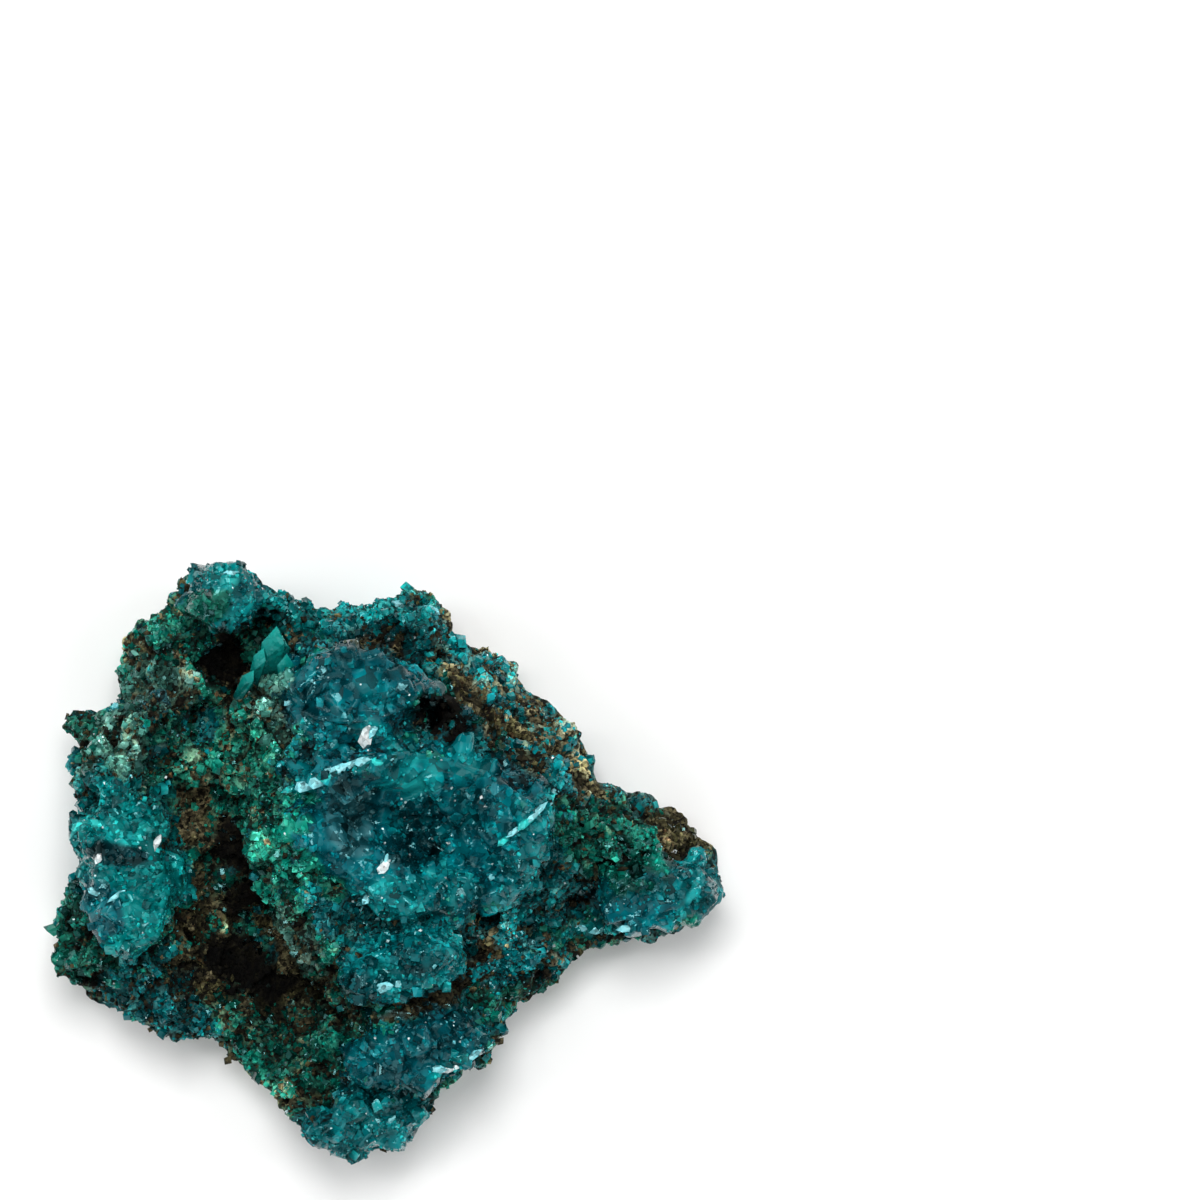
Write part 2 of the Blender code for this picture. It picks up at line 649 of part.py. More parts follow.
def main():
    """Build the specimen."""
    clear_scene()
    specimen = new_collection("dioptase_specimen")
    helpers = new_collection("helpers")

    fine = rock_form(helpers)
    blank = thinned("host_rock_blank_thin", fine, ROCK_TRIANGLES, helpers)
    bed_skin = grown_skin("bed_skin", fine, BED_HEIGHT, FUSE_GRID, BED_TRIANGLES, helpers)
    bare_tree = search_tree(blank.data)
    crust = [crystal for druse in CRUSTS for crystal in druse_crystals(druse, bare_tree)]
    rock = new_object("host_rock", blank.data.copy(), specimen)
    cut(rock, crystals_united("crust", crust, helpers), "UNION")
    cut(rock, trim_box(helpers))
    keep_largest_body(rock.data)
    rock.data.materials.clear()
    rock.data.materials.append(finish_material(LIMONITE))

    clearance = grown_skin(
        "clearance", rock, CLEARANCE, CLEARANCE_GRID, CLEARANCE_TRIANGLES, helpers
    )
    for druse in CLUSTERS:
        crystals = druse_crystals(druse, bare_tree)
        bed = druse_bed(druse, bed_skin, helpers)
        grown_piece(druse.name, crystals, DIOPTASE, clearance, specimen, helpers, bed)
    blade = (
        Vector(BLADE_BASE) * MM, Vector(BLADE_AIM).normalized(), BLADE_WIDTH * MM,
        BLADE_LENGTH * MM, BLADE_SPIN, BLADE_ROOT_WIDTH / BLADE_WIDTH, BLADE_FLATNESS,
    )
    grown_piece("pointed_crystal", [blade], PALE_DIOPTASE, clearance, specimen, helpers)


main()
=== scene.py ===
"""The looks of a dioptase specimen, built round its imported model.

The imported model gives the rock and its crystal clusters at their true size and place. This
script takes the rock's skin again on a finer grid, roughens it, and grows crystals on it: large
clear ones where the model's clusters are, and a crust of small ones over the rest. Places on
the specimen are named, in mm, as seen from straight above with +X right and +Y up.
"""

import logging
import math
from dataclasses import dataclass, field
from enum import Enum
from functools import cache
from itertools import product
from typing import Any, Self

import bmesh
import bpy
import numpy as np
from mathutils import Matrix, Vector
from mathutils.bvhtree import BVHTree

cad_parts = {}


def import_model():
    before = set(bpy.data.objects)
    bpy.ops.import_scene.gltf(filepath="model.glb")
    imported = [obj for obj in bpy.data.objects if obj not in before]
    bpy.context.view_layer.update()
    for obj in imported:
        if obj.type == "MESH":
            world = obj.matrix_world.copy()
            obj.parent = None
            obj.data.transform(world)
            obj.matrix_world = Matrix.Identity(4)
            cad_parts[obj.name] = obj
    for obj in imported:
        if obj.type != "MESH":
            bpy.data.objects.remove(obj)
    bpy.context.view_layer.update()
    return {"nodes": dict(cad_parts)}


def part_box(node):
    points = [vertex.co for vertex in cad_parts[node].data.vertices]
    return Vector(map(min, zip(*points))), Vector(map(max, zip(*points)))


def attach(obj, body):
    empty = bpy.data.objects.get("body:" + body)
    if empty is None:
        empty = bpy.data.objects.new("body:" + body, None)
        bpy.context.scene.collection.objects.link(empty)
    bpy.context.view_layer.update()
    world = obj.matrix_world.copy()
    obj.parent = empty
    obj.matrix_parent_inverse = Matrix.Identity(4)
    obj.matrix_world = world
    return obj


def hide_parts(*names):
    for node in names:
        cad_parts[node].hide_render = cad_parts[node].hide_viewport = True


MM = 0.001
LOG = logging.getLogger("dioptase")

# The highest that a crystal may reach, in mm
TOP = 30.7

# Large odd numbers that stir the bits of a cell's place and of its seed
CELL_STIR = (73856093, 19349663, 83492791)
SEED_STIR = 40503
BIT_STIR = ((15, 2246822519), (13, 3266489917))
LOW_BITS = 0xFFFFFFFF

# How far one seed's noise lies from the next one's, in lumps
NOISE_SHIFT = (7.31, 3.17, 5.93)

Array = np.ndarray
Colour = tuple[float, float, float]


def linear(code: str) -> Colour:
    """Turn a colour written as six hexadecimal digits into linear values.

    Args:
        code: The colour, such as "0a5f68".

    Returns:
        Its red, green and blue, as a shader takes them.
    """
    parts = [int(code[at:at + 2], 16) / 255 for at in (0, 2, 4)]
    return tuple(v / 12.92 if v <= 0.04045 else ((v + 0.055) / 1.055) ** 2.4 for v in parts)


def smooth_step(values: Array, low: float, high: float) -> Array:
    """Ease from 0 at low to 1 at high.

    Args:
        values: The values to ease.
        low: Where the result leaves 0.
        high: Where the result reaches 1.

    Returns:
        The eased values, between 0 and 1.
    """
    share = np.clip((values - low) / (high - low), 0.0, 1.0)
    return share * share * (3.0 - 2.0 * share)


def scramble(cells: Array, seed: int) -> Array:
    """A number from 0 to 1 for each whole-number cell.

    Args:
        cells: Three whole numbers a row.
        seed: Which numbers are wanted.

    Returns:
        One value a row.
    """
    x, y, z = (cells[:, axis] * stir for axis, stir in enumerate(CELL_STIR))
    code = ((x ^ y ^ z) + seed * SEED_STIR) & LOW_BITS
    for shift, stir in BIT_STIR:
        code = ((code ^ (code >> shift)) * stir) & LOW_BITS
    return ((code ^ (code >> 16)) & 0xFFFF) / 65535.0


def value_noise(points: Array, size: float, seed: int) -> Array:
    """Smooth noise between -1 and 1 at points in space.

    Args:
        points: The points, in metres.
        size: The size of one lump of the noise, in mm.
        seed: Which noise it is.

    Returns:
        One value a point.
    """
    spread = points / (size * MM) + seed * np.array(NOISE_SHIFT)
    cell = np.floor(spread).astype(np.int64)
    part = spread - cell
    part = part * part * (3.0 - 2.0 * part)
    total = np.zeros(len(points))
    for corner in product((0, 1), repeat=3):
        value = 2.0 * scramble(cell + np.array(corner), seed) - 1.0
        total += value * np.prod(np.where(corner, part, 1.0 - part), axis=1)
    return total


class Rows:
    """Arrays that have one row for each of many points."""

    @classmethod
    def join(cls, parts: list[Self]) -> Self:
        """Join the rows of several.

        Args:
            parts: What to join.

        Returns:
            Them all as one.
        """
        whole = cls.__new__(cls)
        for key, value in vars(parts[0]).items():
            join = type(value).join if isinstance(value, Rows) else np.concatenate
            setattr(whole, key, join([getattr(part, key) for part in parts]))
        return whole

    def __getitem__(self, chosen: Array) -> Self:
        """Take only some of the rows.

        Args:
            chosen: Their numbers.

        Returns:
            Those rows.
        """
        part = type(self).__new__(type(self))
        for key, value in vars(self).items():
            setattr(part, key, value[chosen])
        return part


@dataclass
class Lumps(Rows):
    """The division of space into rounded lumps of about one size.

    edge is 0 between two lumps and grows inwards; own holds whole numbers that name the lump.
    """

    edge: Array
    own: Array

    @classmethod
    def around(cls, points: Array, size: float, seed: int) -> Self:
        """Find each point's lump.

        Args:
            points: The points, in metres.
            size: The lumps' size, in mm.
            seed: Which division it is.

        Returns:
            The lumps at the points.
        """
        spread = points / (size * MM) + seed * 3.7
        cell = np.floor(spread).astype(np.int64)
        first, second = np.full(len(points), np.inf), np.full(len(points), np.inf)
        own = np.zeros_like(cell)
        for step in product((-1, 0, 1), repeat=3):
            at = cell + np.array(step)
            seat = at + np.column_stack([scramble(at, seed + k) for k in range(3)])
            gap = np.linalg.norm(spread - seat, axis=1)
            nearer = gap < first
            second = np.where(nearer, first, np.minimum(second, gap))
            first = np.where(nearer, gap, first)
            own[nearer] = at[nearer]
        return cls(second - first, own)

    def value(self, seed: int) -> Array:
        """A number from 0 to 1 that is the same all over a lump."""
        return scramble(self.own, seed)


class Tone(Enum):
    """The specimen's colourings: a dark, a middle and a light colour, as hexadecimal digits."""

    DEEP = ("001216", "005a66", "06a8b0")
    TEAL = ("00242a", "007f86", "28cac8")
    BRIGHT = ("00363c", "009c9c", "34dcd4")
    GREEN = ("022c26", "088a76", "44d2ae")
    DUSTY = ("122a24", "448a7c", "98d0c2")
    LILAC = ("082229", "1c6670", "74b0b8")
    # Painted highlights: the pale and white of the glints and the sparkles
    PALE = ("0a8a98", "40c4d2", "a8ecf2")
    WHITE = ("7cc4cc", "d4f0f2", "ffffff")
    BROWN = ("15130c", "4c4731", "9a8e6c")
    OLIVE = ("222010", "6c6844", "b4aa80")
    RUST = ("281c10", "644a2e", "a08662")
    # Painted shade: the near-black that fills the deep gap, the clefts, the cavity and the nook
    BLACK = ("020403", "080e0c", "14201d")

    def colours(self) -> list[Colour]:
        """The three colours, in linear values."""
        return [linear(code) for code in self.value]


# Where a place starts to fade and where it ends, as shares of its size
PLACE_EDGE = (0.75, 1.2)


@dataclass(frozen=True)
class Place:
    """A named place on the specimen, and what its crust is like there.

    x, y, half_x, half_y and turn give an ellipse seen from above, in mm and degrees. cover is
    the share that is crystal, grain scales the size of its small crystals, light scales its
    colours, and small scales how thickly small crystals stand there. A light below 1 is painted
    shade, as in the clefts, the cavity and the middle of the hollow; one above 1 makes the crust
    lighter.
    """

    name: str
    x: float
    y: float
    half_x: float
    half_y: float
    turn: float
    tone: Tone
    cover: float
    grain: float = 1.0
    light: float = 1.0
    small: float = 1.0

    def share(self, points: Array, fray: Array) -> Array:
        """How far each point belongs to this place.

        Args:
            points: The points, in metres.
            fray: How far the place's edge is moved at each, as a share of the place's size.

        Returns:
            Values from 0, outside, to 1, inside.
        """
        angle = math.radians(self.turn)
        dx, dy = points[:, 0] / MM - self.x, points[:, 1] / MM - self.y
        along = (dx * math.cos(angle) + dy * math.sin(angle)) / self.half_x
        across = (dy * math.cos(angle) - dx * math.sin(angle)) / self.half_y
        return 1.0 - smooth_step(np.hypot(along, across) + fray, *PLACE_EDGE)


# A later place lies over the earlier ones
PLACES = (
    Place("slope_under_cavity", -10.0, -21.0, 12.0, 7.5, -30, Tone.GREEN, 0.58, 1.0, 1.4),
    Place("left_shoulder", -25.0, 23.0, 6.5, 6.0, 20, Tone.GREEN, 0.68, 1.0, 1.6),
    Place("shoulder_lumps", -26.0, 18.0, 5.0, 4.0, 0, Tone.DUSTY, 0.85, 1.0, 1.6),
    Place("blue_patch", -24.5, 17.5, 2.2, 1.8, 0, Tone.LILAC, 0.95),
    Place("left_back", -29.5, 10.5, 5.5, 7.0, 0, Tone.DUSTY, 0.9, 1.0, 1.9),
    Place("left_back_green", -31.5, 6.5, 3.5, 4.0, 0, Tone.BRIGHT, 0.92),
    Place("outer_knob", -34.5, 14.5, 3.0, 3.0, 0, Tone.GREEN, 0.9),
    Place("round_knob", -17.5, 29.5, 5.0, 4.6, 0, Tone.TEAL, 0.85, 1.0, 0.95),
    Place("knob_earth", -19.4, 27.6, 3.6, 1.8, 25, Tone.GREEN, 0.7, 1.0, 0.7),
    Place("knob_druse", -16.6, 31.2, 2.6, 1.3, 0, Tone.BRIGHT, 0.95, 1.0, 1.2),
    Place("knob_neighbour", -10.0, 27.5, 3.4, 3.0, 0, Tone.BRIGHT, 0.93, 1.3, 1.2),
    # Painted shade: this gap is painted near-black
    Place("upper_gap", -16.6, 20.8, 1.4, 4.0, 12, Tone.BLACK, 0.1, 1.0, 0.07),
    Place("dusty_boss", -12.6, 16.8, 4.6, 5.4, -20, Tone.DUSTY, 0.9, 1.0, 2.2),
    Place("lilac_facet", -9.4, 16.8, 1.8, 2.2, 0, Tone.LILAC, 1.0),
    Place("saddle", -18.0, 9.5, 5.5, 6.5, -15, Tone.GREEN, 0.82, 1.0, 2.5),
    Place("left_flank", -20.0, -5.0, 3.4, 13.0, 4, Tone.GREEN, 0.38, 1.0, 1.6),
    Place("left_lobe", -28.0, -0.5, 6.5, 11.0, 4, Tone.BRIGHT, 0.97, 1.3),
    Place("lobe_foot", -34.0, -9.5, 4.5, 6.5, 0, Tone.GREEN, 0.9),
    Place("lobe_end", -25.0, -16.5, 7.5, 4.5, -25, Tone.TEAL, 0.85),
    Place("lobe_glass", -30.8, -5.6, 2.8, 3.6, 10, Tone.DEEP, 1.0, 1.3, 1.1, 0.3),
    Place("lobe_vug", -29.4, 0.9, 3.6, 1.2, -6, Tone.DEEP, 0.8, 1.0, 0.3),
    Place("hollow_wall", -9.8, 1.0, 5.4, 11.0, 14, Tone.GREEN, 0.96, 1.0, 1.8),
    Place("wall_foot", -9.3, -7.6, 4.2, 7.2, 38, Tone.GREEN, 0.95, 0.9, 1.7),
    Place("wall_blue", -6.4, -5.6, 2.4, 4.2, 30, Tone.TEAL, 0.97, 1.1, 1.2),
    Place("wall_dust", -10.2, -9.6, 2.4, 4.2, 38, Tone.DUSTY, 0.88, 0.8, 1.2),
    Place("wall_edge", -11.2, -11.4, 1.0, 7.3, 38, Tone.OLIVE, 0.3, 1.0, 1.3),
    # Painted shade: the cavity and the clefts are painted near-black
    Place("cavity", -14.6, -12.2, 5.0, 2.0, -38, Tone.BLACK, 0.3, 1.0, 0.07),
    Place("cleft", -16.9, 1.0, 1.0, 4.2, 14, Tone.BLACK, 0.15, 1.0, 0.07),
    Place("cleft_end", -16.3, -5.6, 0.9, 3.2, -4, Tone.BLACK, 0.15, 1.0, 0.12),
    Place("upper_right_mass", 2.0, 25.5, 7.5, 5.5, 0, Tone.TEAL, 0.92),
    Place("summit_druse", 2.4, 27.8, 5.0, 2.4, 0, Tone.BRIGHT, 0.97, 1.0, 1.3),
    Place("summit_earth", -2.0, 24.2, 3.8, 1.7, 10, Tone.OLIVE, 0.4, 1.0, 1.2),
    Place("upper_mass", -3.2, 18.6, 7.6, 5.6, 0, Tone.DEEP, 0.98, 1.3, 1.15, 0.45),
    Place("long_slope", 15.8, 17.0, 14.0, 4.4, -47, Tone.TEAL, 0.5, 1.0, 2.1),
    Place("slope_streak", 10.5, 18.5, 6.0, 1.4, -47, Tone.OLIVE, 0.3, 1.0, 1.7),
    # Painted shade: the nook is painted near-black
    Place("dark_nook", 6.2, 16.0, 2.8, 2.0, -25, Tone.BLACK, 0.5, 1.0, 0.07),
    Place("ledge", -4.5, 11.6, 7.0, 3.2, 18, Tone.TEAL, 0.99, 1.2, 1.25, 0.3),
    Place("ledge_rim", -4.8, 9.4, 4.6, 1.0, 22, Tone.BRIGHT, 1.0, 1.3, 1.2),
    Place("hollow", 4.6, 3.0, 13.5, 9.4, -12, Tone.DEEP, 1.0, 1.2, 1.15, 0.55),
    Place("inner_wall", -3.4, 4.4, 2.4, 4.2, 10, Tone.LILAC, 1.0, 1.2, 1.0, 0.3),
    # Painted shade: the hollow's middle is painted darker
    Place("hollow_heart", 3.7, 3.0, 3.2, 4.4, -8, Tone.DEEP, 1.0, 1.2, 0.5, 1.2),
    Place("middle_lobe", 3.2, 9.6, 3.6, 2.6, 5, Tone.TEAL, 1.0, 1.0, 1.15, 0.2),
    Place("back_lobe", 9.6, 11.4, 3.2, 2.8, -30, Tone.TEAL, 1.0, 1.0, 1.0, 0.3),
    # Painted shade: the back of the hollow is painted darker
    Place("hollow_back", 9.4, 5.6, 3.4, 3.2, 0, Tone.DEEP, 1.0, 1.2, 0.75, 0.6),
    Place("far_lobe", 14.6, 9.0, 3.0, 2.6, -30, Tone.DEEP, 1.0, 1.0, 1.1, 0.3),
    Place("hollow_south", 3.0, -3.6, 8.0, 2.6, 10, Tone.TEAL, 1.0, 1.1, 1.0),
    Place("right_rim", 16.8, 5.4, 4.6, 1.3, 40, Tone.TEAL, 0.98, 1.2, 1.2),
    Place("arm_root", 17.5, -3.0, 5.0, 5.5, 0, Tone.TEAL, 0.95, 1.1),
    Place("arm_lump", 25.2, 2.2, 5.5, 4.5, -15, Tone.GREEN, 0.93, 1.0, 1.5),
    Place("arm_ridge", 33.0, 3.0, 4.6, 1.6, -40, Tone.OLIVE, 0.45),
    Place("rust_spot", 32.2, 1.6, 1.7, 1.2, 0, Tone.RUST, 0.2),
    Place("arm_tip", 34.8, -2.6, 3.6, 4.0, 0, Tone.TEAL, 0.92, 1.0, 1.1),
    Place("arm_lens", 26.6, -6.2, 5.2, 2.4, 8, Tone.DEEP, 0.98, 1.2, 1.2, 0.5),
    Place("arm_edge", 22.5, -8.3, 5.0, 0.8, 10, Tone.BRIGHT, 0.95, 1.2, 1.1),
    Place("lower_right_druse", 13.0, -10.5, 5.5, 4.6, 35, Tone.TEAL, 0.95, 1.0, 2.5),
    Place("druse_earth", 9.6, -9.6, 2.0, 1.4, 20, Tone.BROWN, 0.3),
    Place("lower_ridge", 2.3, -10.8, 7.4, 4.4, 14, Tone.TEAL, 0.98, 1.3),
    Place("lower_groove", 5.5, -15.6, 6.5, 1.0, 16, Tone.BROWN, 0.3, 1.0, 0.7),
    Place("lower_mass", 3.6, -21.0, 9.6, 4.6, 14, Tone.DEEP, 0.98, 1.2, 1.15, 0.6),
    Place("lower_edge", 7.6, -22.2, 2.6, 0.9, 30, Tone.BRIGHT, 1.0, 1.2, 1.2),
    Place("foot", -2.0, -29.2, 8.4, 4.4, 4, Tone.TEAL, 0.95, 1.1),
)


class Ground(Rows):
    """What the specimen's crust is like at each of many points, as arrays.

    lumps and knobs divide it. cover is the share that is crystal, grain the size of the small
    crystals and small how thickly they stand, shade the factor on the colour, below 1
    where shade is painted into the clefts, the hollow's middle, the pores and the creases and
    above 1 where a place is made lighter, and weights how much of each tone there is. loose is
    how earthy it is, and pore where it has pores. pick and level choose a lump's tone and how
    light it is.
    """

    lump_size = 4.4
    knob_size = 2.0

    def __init__(self, points: Array) -> None:
        """Work out the crust at the points from the named places and the lumps.

        Args:
            points: The points, in metres.
        """
        count = len(points)
        tones = list(Tone)
        self.lumps = Lumps.around(points, self.lump_size, seed=70)
        self.knobs = Lumps.around(points, self.knob_size, seed=80)
        self.cover = np.full(count, 0.9)
        self.grain = np.ones(count)
        self.shade = np.ones(count)
        self.small = np.ones(count)
        self.weights = np.zeros((count, len(tones)))
        self.weights[:, tones.index(Tone.TEAL)] = 0.55
        self.weights[:, tones.index(Tone.GREEN)] = 0.45
        fray = (0.22 * value_noise(points, size=3.2, seed=5)
                + 0.16 * value_noise(points, size=1.3, seed=6))
        for place in PLACES:
            share = place.share(points, fray)
            self.cover += (place.cover - self.cover) * share
            self.grain += (place.grain - self.grain) * share
            # Each place's light is painted into the colour: below 1 it is painted shade
            self.shade += (place.light - self.shade) * share
            self.small += (place.small - self.small) * share
            self.weights *= (1.0 - share)[:, None]
            self.weights[:, tones.index(place.tone)] += share
        self._vary(points)

    def _vary(self, points: Array) -> None:
        """Make the lumps differ, open pores, and paint shade into the pores and into the creases between
        the lumps.

        Args:
            points: The points, in metres.
        """
        lumps, knobs = self.lumps, self.knobs
        self.loose = smooth_step(1.03 - self.cover, 0.0, 0.14)
        self.cover += self.loose * (0.4 * (lumps.value(seed=91) - 0.5)
                                    + 0.35 * (knobs.value(seed=92) - 0.5))
        self.pore = self.loose * smooth_step(value_noise(points, size=1.15, seed=98), 0.38, 0.62)
        self.cover *= 1.0 - 0.8 * self.pore
        self.pick = 0.55 * lumps.value(seed=93) + 0.45 * knobs.value(seed=94)
        self.level = (0.35 * (lumps.value(seed=95) - 0.5) + 0.45 * (knobs.value(seed=96) - 0.5)
                      + 0.12 * value_noise(points, size=3.0, seed=52))
        # Painted shade in the creases between the lumps and the knobs, where the crust is loose
        crease = smooth_step(lumps.edge, 0.0, 0.4)
        nick = smooth_step(knobs.edge, 0.0, 0.35)
        self.shade *= 1.0 - self.loose * (1.0 - (0.6 + 0.4 * crease) * (0.7 + 0.3 * nick))
        # Painted shade in the pores
        self.shade *= 1.0 - 0.75 * self.pore

    def use_only(self, shares: dict[Tone, float]) -> Self:
        """Take these tones everywhere.

        Args:
            shares: The share of each tone.

        Returns:
            This ground.
        """
        self.weights = np.zeros_like(self.weights)
        for tone, share in shares.items():
            self.weights[:, list(Tone).index(tone)] = share
        return self

    def colours(self, level: Array, pick: Array) -> Array:
        """Colours at the points, each from one of the tones that hold there.

        Args:
            level: How light each colour is, from 0 to 1.
            pick: A number from 0 to 1 a point, which chooses among the tones.

        Returns:
            Linear red, green and blue, one row a point.
        """
        palette = np.array([tone.colours() for tone in Tone])
        steps = np.cumsum(self.weights, axis=1)
        chosen = (pick[:, None] * steps[:, -1:] > steps).sum(axis=1).clip(0, len(palette) - 1)
        dark, middle, light = (palette[chosen, index] for index in range(3))
        low = np.clip(level * 2.0, 0.0, 1.0)[:, None]
        high = np.clip(level * 2.0 - 1.0, 0.0, 1.0)[:, None]
        return dark + (middle - dark) * low + (light - middle) * high


class Socket:
    """A node's output, which can be used in Python expressions."""

    def __init__(self, graph: "Graph", link: Any) -> None:
        """Wrap the output.

        Args:
            graph: The graph that the node is in.
            link: The output socket.
        """
        self.graph = graph
        self.link = link

    def beside(self, output: str) -> "Socket":
        """Another output of the same node."""
        return Socket(self.graph, self.link.node.outputs[output])

    def _math(self, operation: str, *values: Any) -> "Socket":
        """A Math node on these values."""
        inputs = dict(enumerate(values))
        return self.graph.node("ShaderNodeMath", {"operation": operation}, inputs)

    def __add__(self, other: Any) -> "Socket":
        """Add."""
        return self._math("ADD", self, other)

    def __radd__(self, other: Any) -> "Socket":
        """Add, reflected."""
        return self._math("ADD", other, self)

    def __sub__(self, other: Any) -> "Socket":
        """Subtract."""
        return self._math("SUBTRACT", self, other)

    def __rsub__(self, other: Any) -> "Socket":
        """Subtract, reflected."""
        return self._math("SUBTRACT", other, self)

    def __mul__(self, other: Any) -> "Socket":
        """Multiply."""
        return self._math("MULTIPLY", self, other)

    def __rmul__(self, other: Any) -> "Socket":
        """Multiply, reflected."""
        return self._math("MULTIPLY", other, self)

    def clipped(self, low: float, high: float) -> "Socket":
        """Stretch the values between low and high to 0 to 1.

        Args:
            low: The value that becomes 0.
            high: The value that becomes 1.

        Returns:
            The stretched and clipped value.
        """
        values = {"Value": self, "From Min": low, "From Max": high}
        return self.graph.node("ShaderNodeMapRange", {"clamp": True}, values)


class Graph:
    """The node graph of a new material or world."""

    def __init__(self, owner: bpy.types.ID, output: str = "ShaderNodeOutputMaterial") -> None:
        """Start an empty graph.

        Args:
            owner: The new material or world.
            output: The type of its output node.
        """
        owner.use_nodes = True
        self.tree = owner.node_tree
        self.tree.nodes.clear()
        self.output = self.tree.nodes.new(output)

    def node(self, kind: str, settings: dict[str, Any], values: dict[Any, Any],
             output: int | str = 0) -> Socket:
        """Add a node.

        Args:
            kind: The node's type.
            settings: Its settings, which are set first.
            values: The value or link of each socket, by the socket's name or number.
            output: The name or number of the output that is wanted.

        Returns:
            That output.
        """
        made = self.tree.nodes.new(kind)
        for key, value in settings.items():
            setattr(made, key, value)
        for key, value in values.items():
            if isinstance(value, Socket):
                self.tree.links.new(value.link, made.inputs[key])
            else:
                made.inputs[key].default_value = value
        return Socket(self, made.outputs[output])

    def close(self, shader: Socket, end: str = "Surface") -> None:
        """Link a shader to the graph's end."""
        self.tree.links.new(shader.link, self.output.inputs[end])

    def place(self) -> Socket:
        """The place on the object, in metres."""
        return self.node("ShaderNodeTexCoord", {}, {}, "Object")

    def noise(self, size: float, detail: float = 3.0, roughness: float = 0.55) -> Socket:
        """Noise in space.

        Args:
            size: The size of its lumps, in mm.
            detail: How many finer layers it has.
            roughness: How strong those are.

        Returns:
            Values round 0.5.
        """
        values = {"Vector": self.place(), "Scale": 1.0 / (size * MM), "Detail": detail,
                  "Roughness": roughness}
        return self.node("ShaderNodeTexNoise", {}, values, "Fac")

    def facets(self, size: float, slope: float) -> tuple[Socket, Socket]:
        """Small flat faces that lean at random.

        Args:
            size: The size of one face, in mm.
            slope: How steeply they lean.

        Returns:
            Their heights, in metres, and a value for each face, round 0, which the finishes paint into
            the colour as shade on some faces and a highlight on others.
        """
        values = {"Vector": self.place(), "Scale": 1.0 / (size * MM)}
        colour = self.node("ShaderNodeTexVoronoi", {}, values, "Color")
        part = self.vector("SUBTRACT", self.place(), colour.beside("Position"))
        lean = self.vector("SUBTRACT", colour, (0.5, 0.5, 0.5))
        height = self.vector("DOT_PRODUCT", part, lean, "Value")
        # Each face's grey value: painted shade for darker faces and a painted highlight for lighter ones
        shade = self.node("ShaderNodeRGBToBW", {}, {"Color": colour})
        return height * (2.0 * slope), shade - 0.5

    def vector(self, operation: str, first: Any, second: Any, output: int | str = 0) -> Socket:
        """A Vector Math node on these two values."""
        return self.node("ShaderNodeVectorMath", {"operation": operation}, {0: first, 1: second}, output)

    def scaled(self, colour: Socket, gain: Socket) -> Socket:
        """A colour made lighter or darker."""
        return self.node("ShaderNodeVectorMath", {"operation": "SCALE"}, {0: colour, "Scale": gain})

    def painted(self, name: str) -> Socket:
        """The colours of a mesh's own colour layer."""
        return self.node("ShaderNodeVertexColor", {"layer_name": name}, {}, "Color")

    def mix(self, share: Any, first: Any, second: Any) -> Socket:
        """Mix two colours.

        Args:
            share: How much of the second is taken, from 0 to 1.
            first: The first colour, or a link.
            second: The second colour, or a link.

        Returns:
            The mixed colour.
        """
        colours = [value if isinstance(value, Socket) else (*value, 1.0) for value in (first, second)]
        values = {0: share, 6: colours[0], 7: colours[1]}
        return self.node("ShaderNodeMix", {"data_type": "RGBA"}, values, 2)

    def bump(self, height: Socket, strength: float) -> Socket:
        """The normal, bumped by heights in metres."""
        values = {"Height": height, "Distance": 1.0, "Strength": strength}
        return self.node("ShaderNodeBump", {}, values)

    def finish(self, values: dict[str, Any]) -> None:
        """End the graph with the shader that has these values or links."""
        self.close(self.node("ShaderNodeBsdfPrincipled", {}, values))

    def absorb(self, colour: Colour, density: float) -> None:
        """Fill the material with a clear tinted body.

        Args:
            colour: The tint.
            density: How quickly light takes the tint, in 1/m.
        """
        values = {"Color": (*colour, 1.0), "Density": density}
        self.close(self.node("ShaderNodeVolumeAbsorption", {}, values), "Volume")


@dataclass(frozen=True)
class RockFinish:
    """Brown, iron-stained rock of dark and light grains, with painted shade in its pores.

    grain, clod and pores are the sizes of its grains, clods and pores, and speck that of its
    finest specks, in mm. The faces of its grains and clods are lighter or darker, partly as
    the grains' own tone and partly as painted shade and highlight.
    """

    name: str = "limonite_rock_skin"
    speck: float = 0.35
    grain: float = 0.42
    clod: float = 1.1
    pores: float = 0.9
    roughness: float = 0.85

    @cache
    def material(self) -> bpy.types.Material:
        """Make the material, once.

        Returns:
            The rock's material, whose base is the mesh's own painted colour.
        """
        made = bpy.data.materials.new(self.name)
        graph = Graph(made)
        specks = graph.noise(self.speck, detail=4.0, roughness=0.7)
        pores = graph.noise(self.pores, detail=3.0, roughness=0.6)
        grains, shades = graph.facets(self.grain, slope=0.7)
        clods, moods = graph.facets(self.clod, slope=0.3)
        # Each face's colour gain: partly the grains' own tone, partly painted shade and highlight
        gain = shades * 3.4 + moods * 2.0 + 1.0
        colour = graph.scaled(graph.painted("tint"), gain.clipped(0.0, 2.4) * 2.4 + 0.12)
        colour = graph.mix(specks.clipped(0.5, 0.3) * 0.6, colour, linear("120d09"))
        # Painted shade in the pores
        colour = graph.mix(pores.clipped(0.46, 0.3) * 0.85, colour, linear("0b0906"))
        height = specks * (0.2 * MM) + pores * (0.25 * MM) + grains + clods
        graph.finish({
            "Base Color": colour,
            "Roughness": self.roughness,
            "IOR": 1.5,
            "Specular IOR Level": 0.14,
            "Normal": graph.bump(height, strength=0.8),
        })
        return made


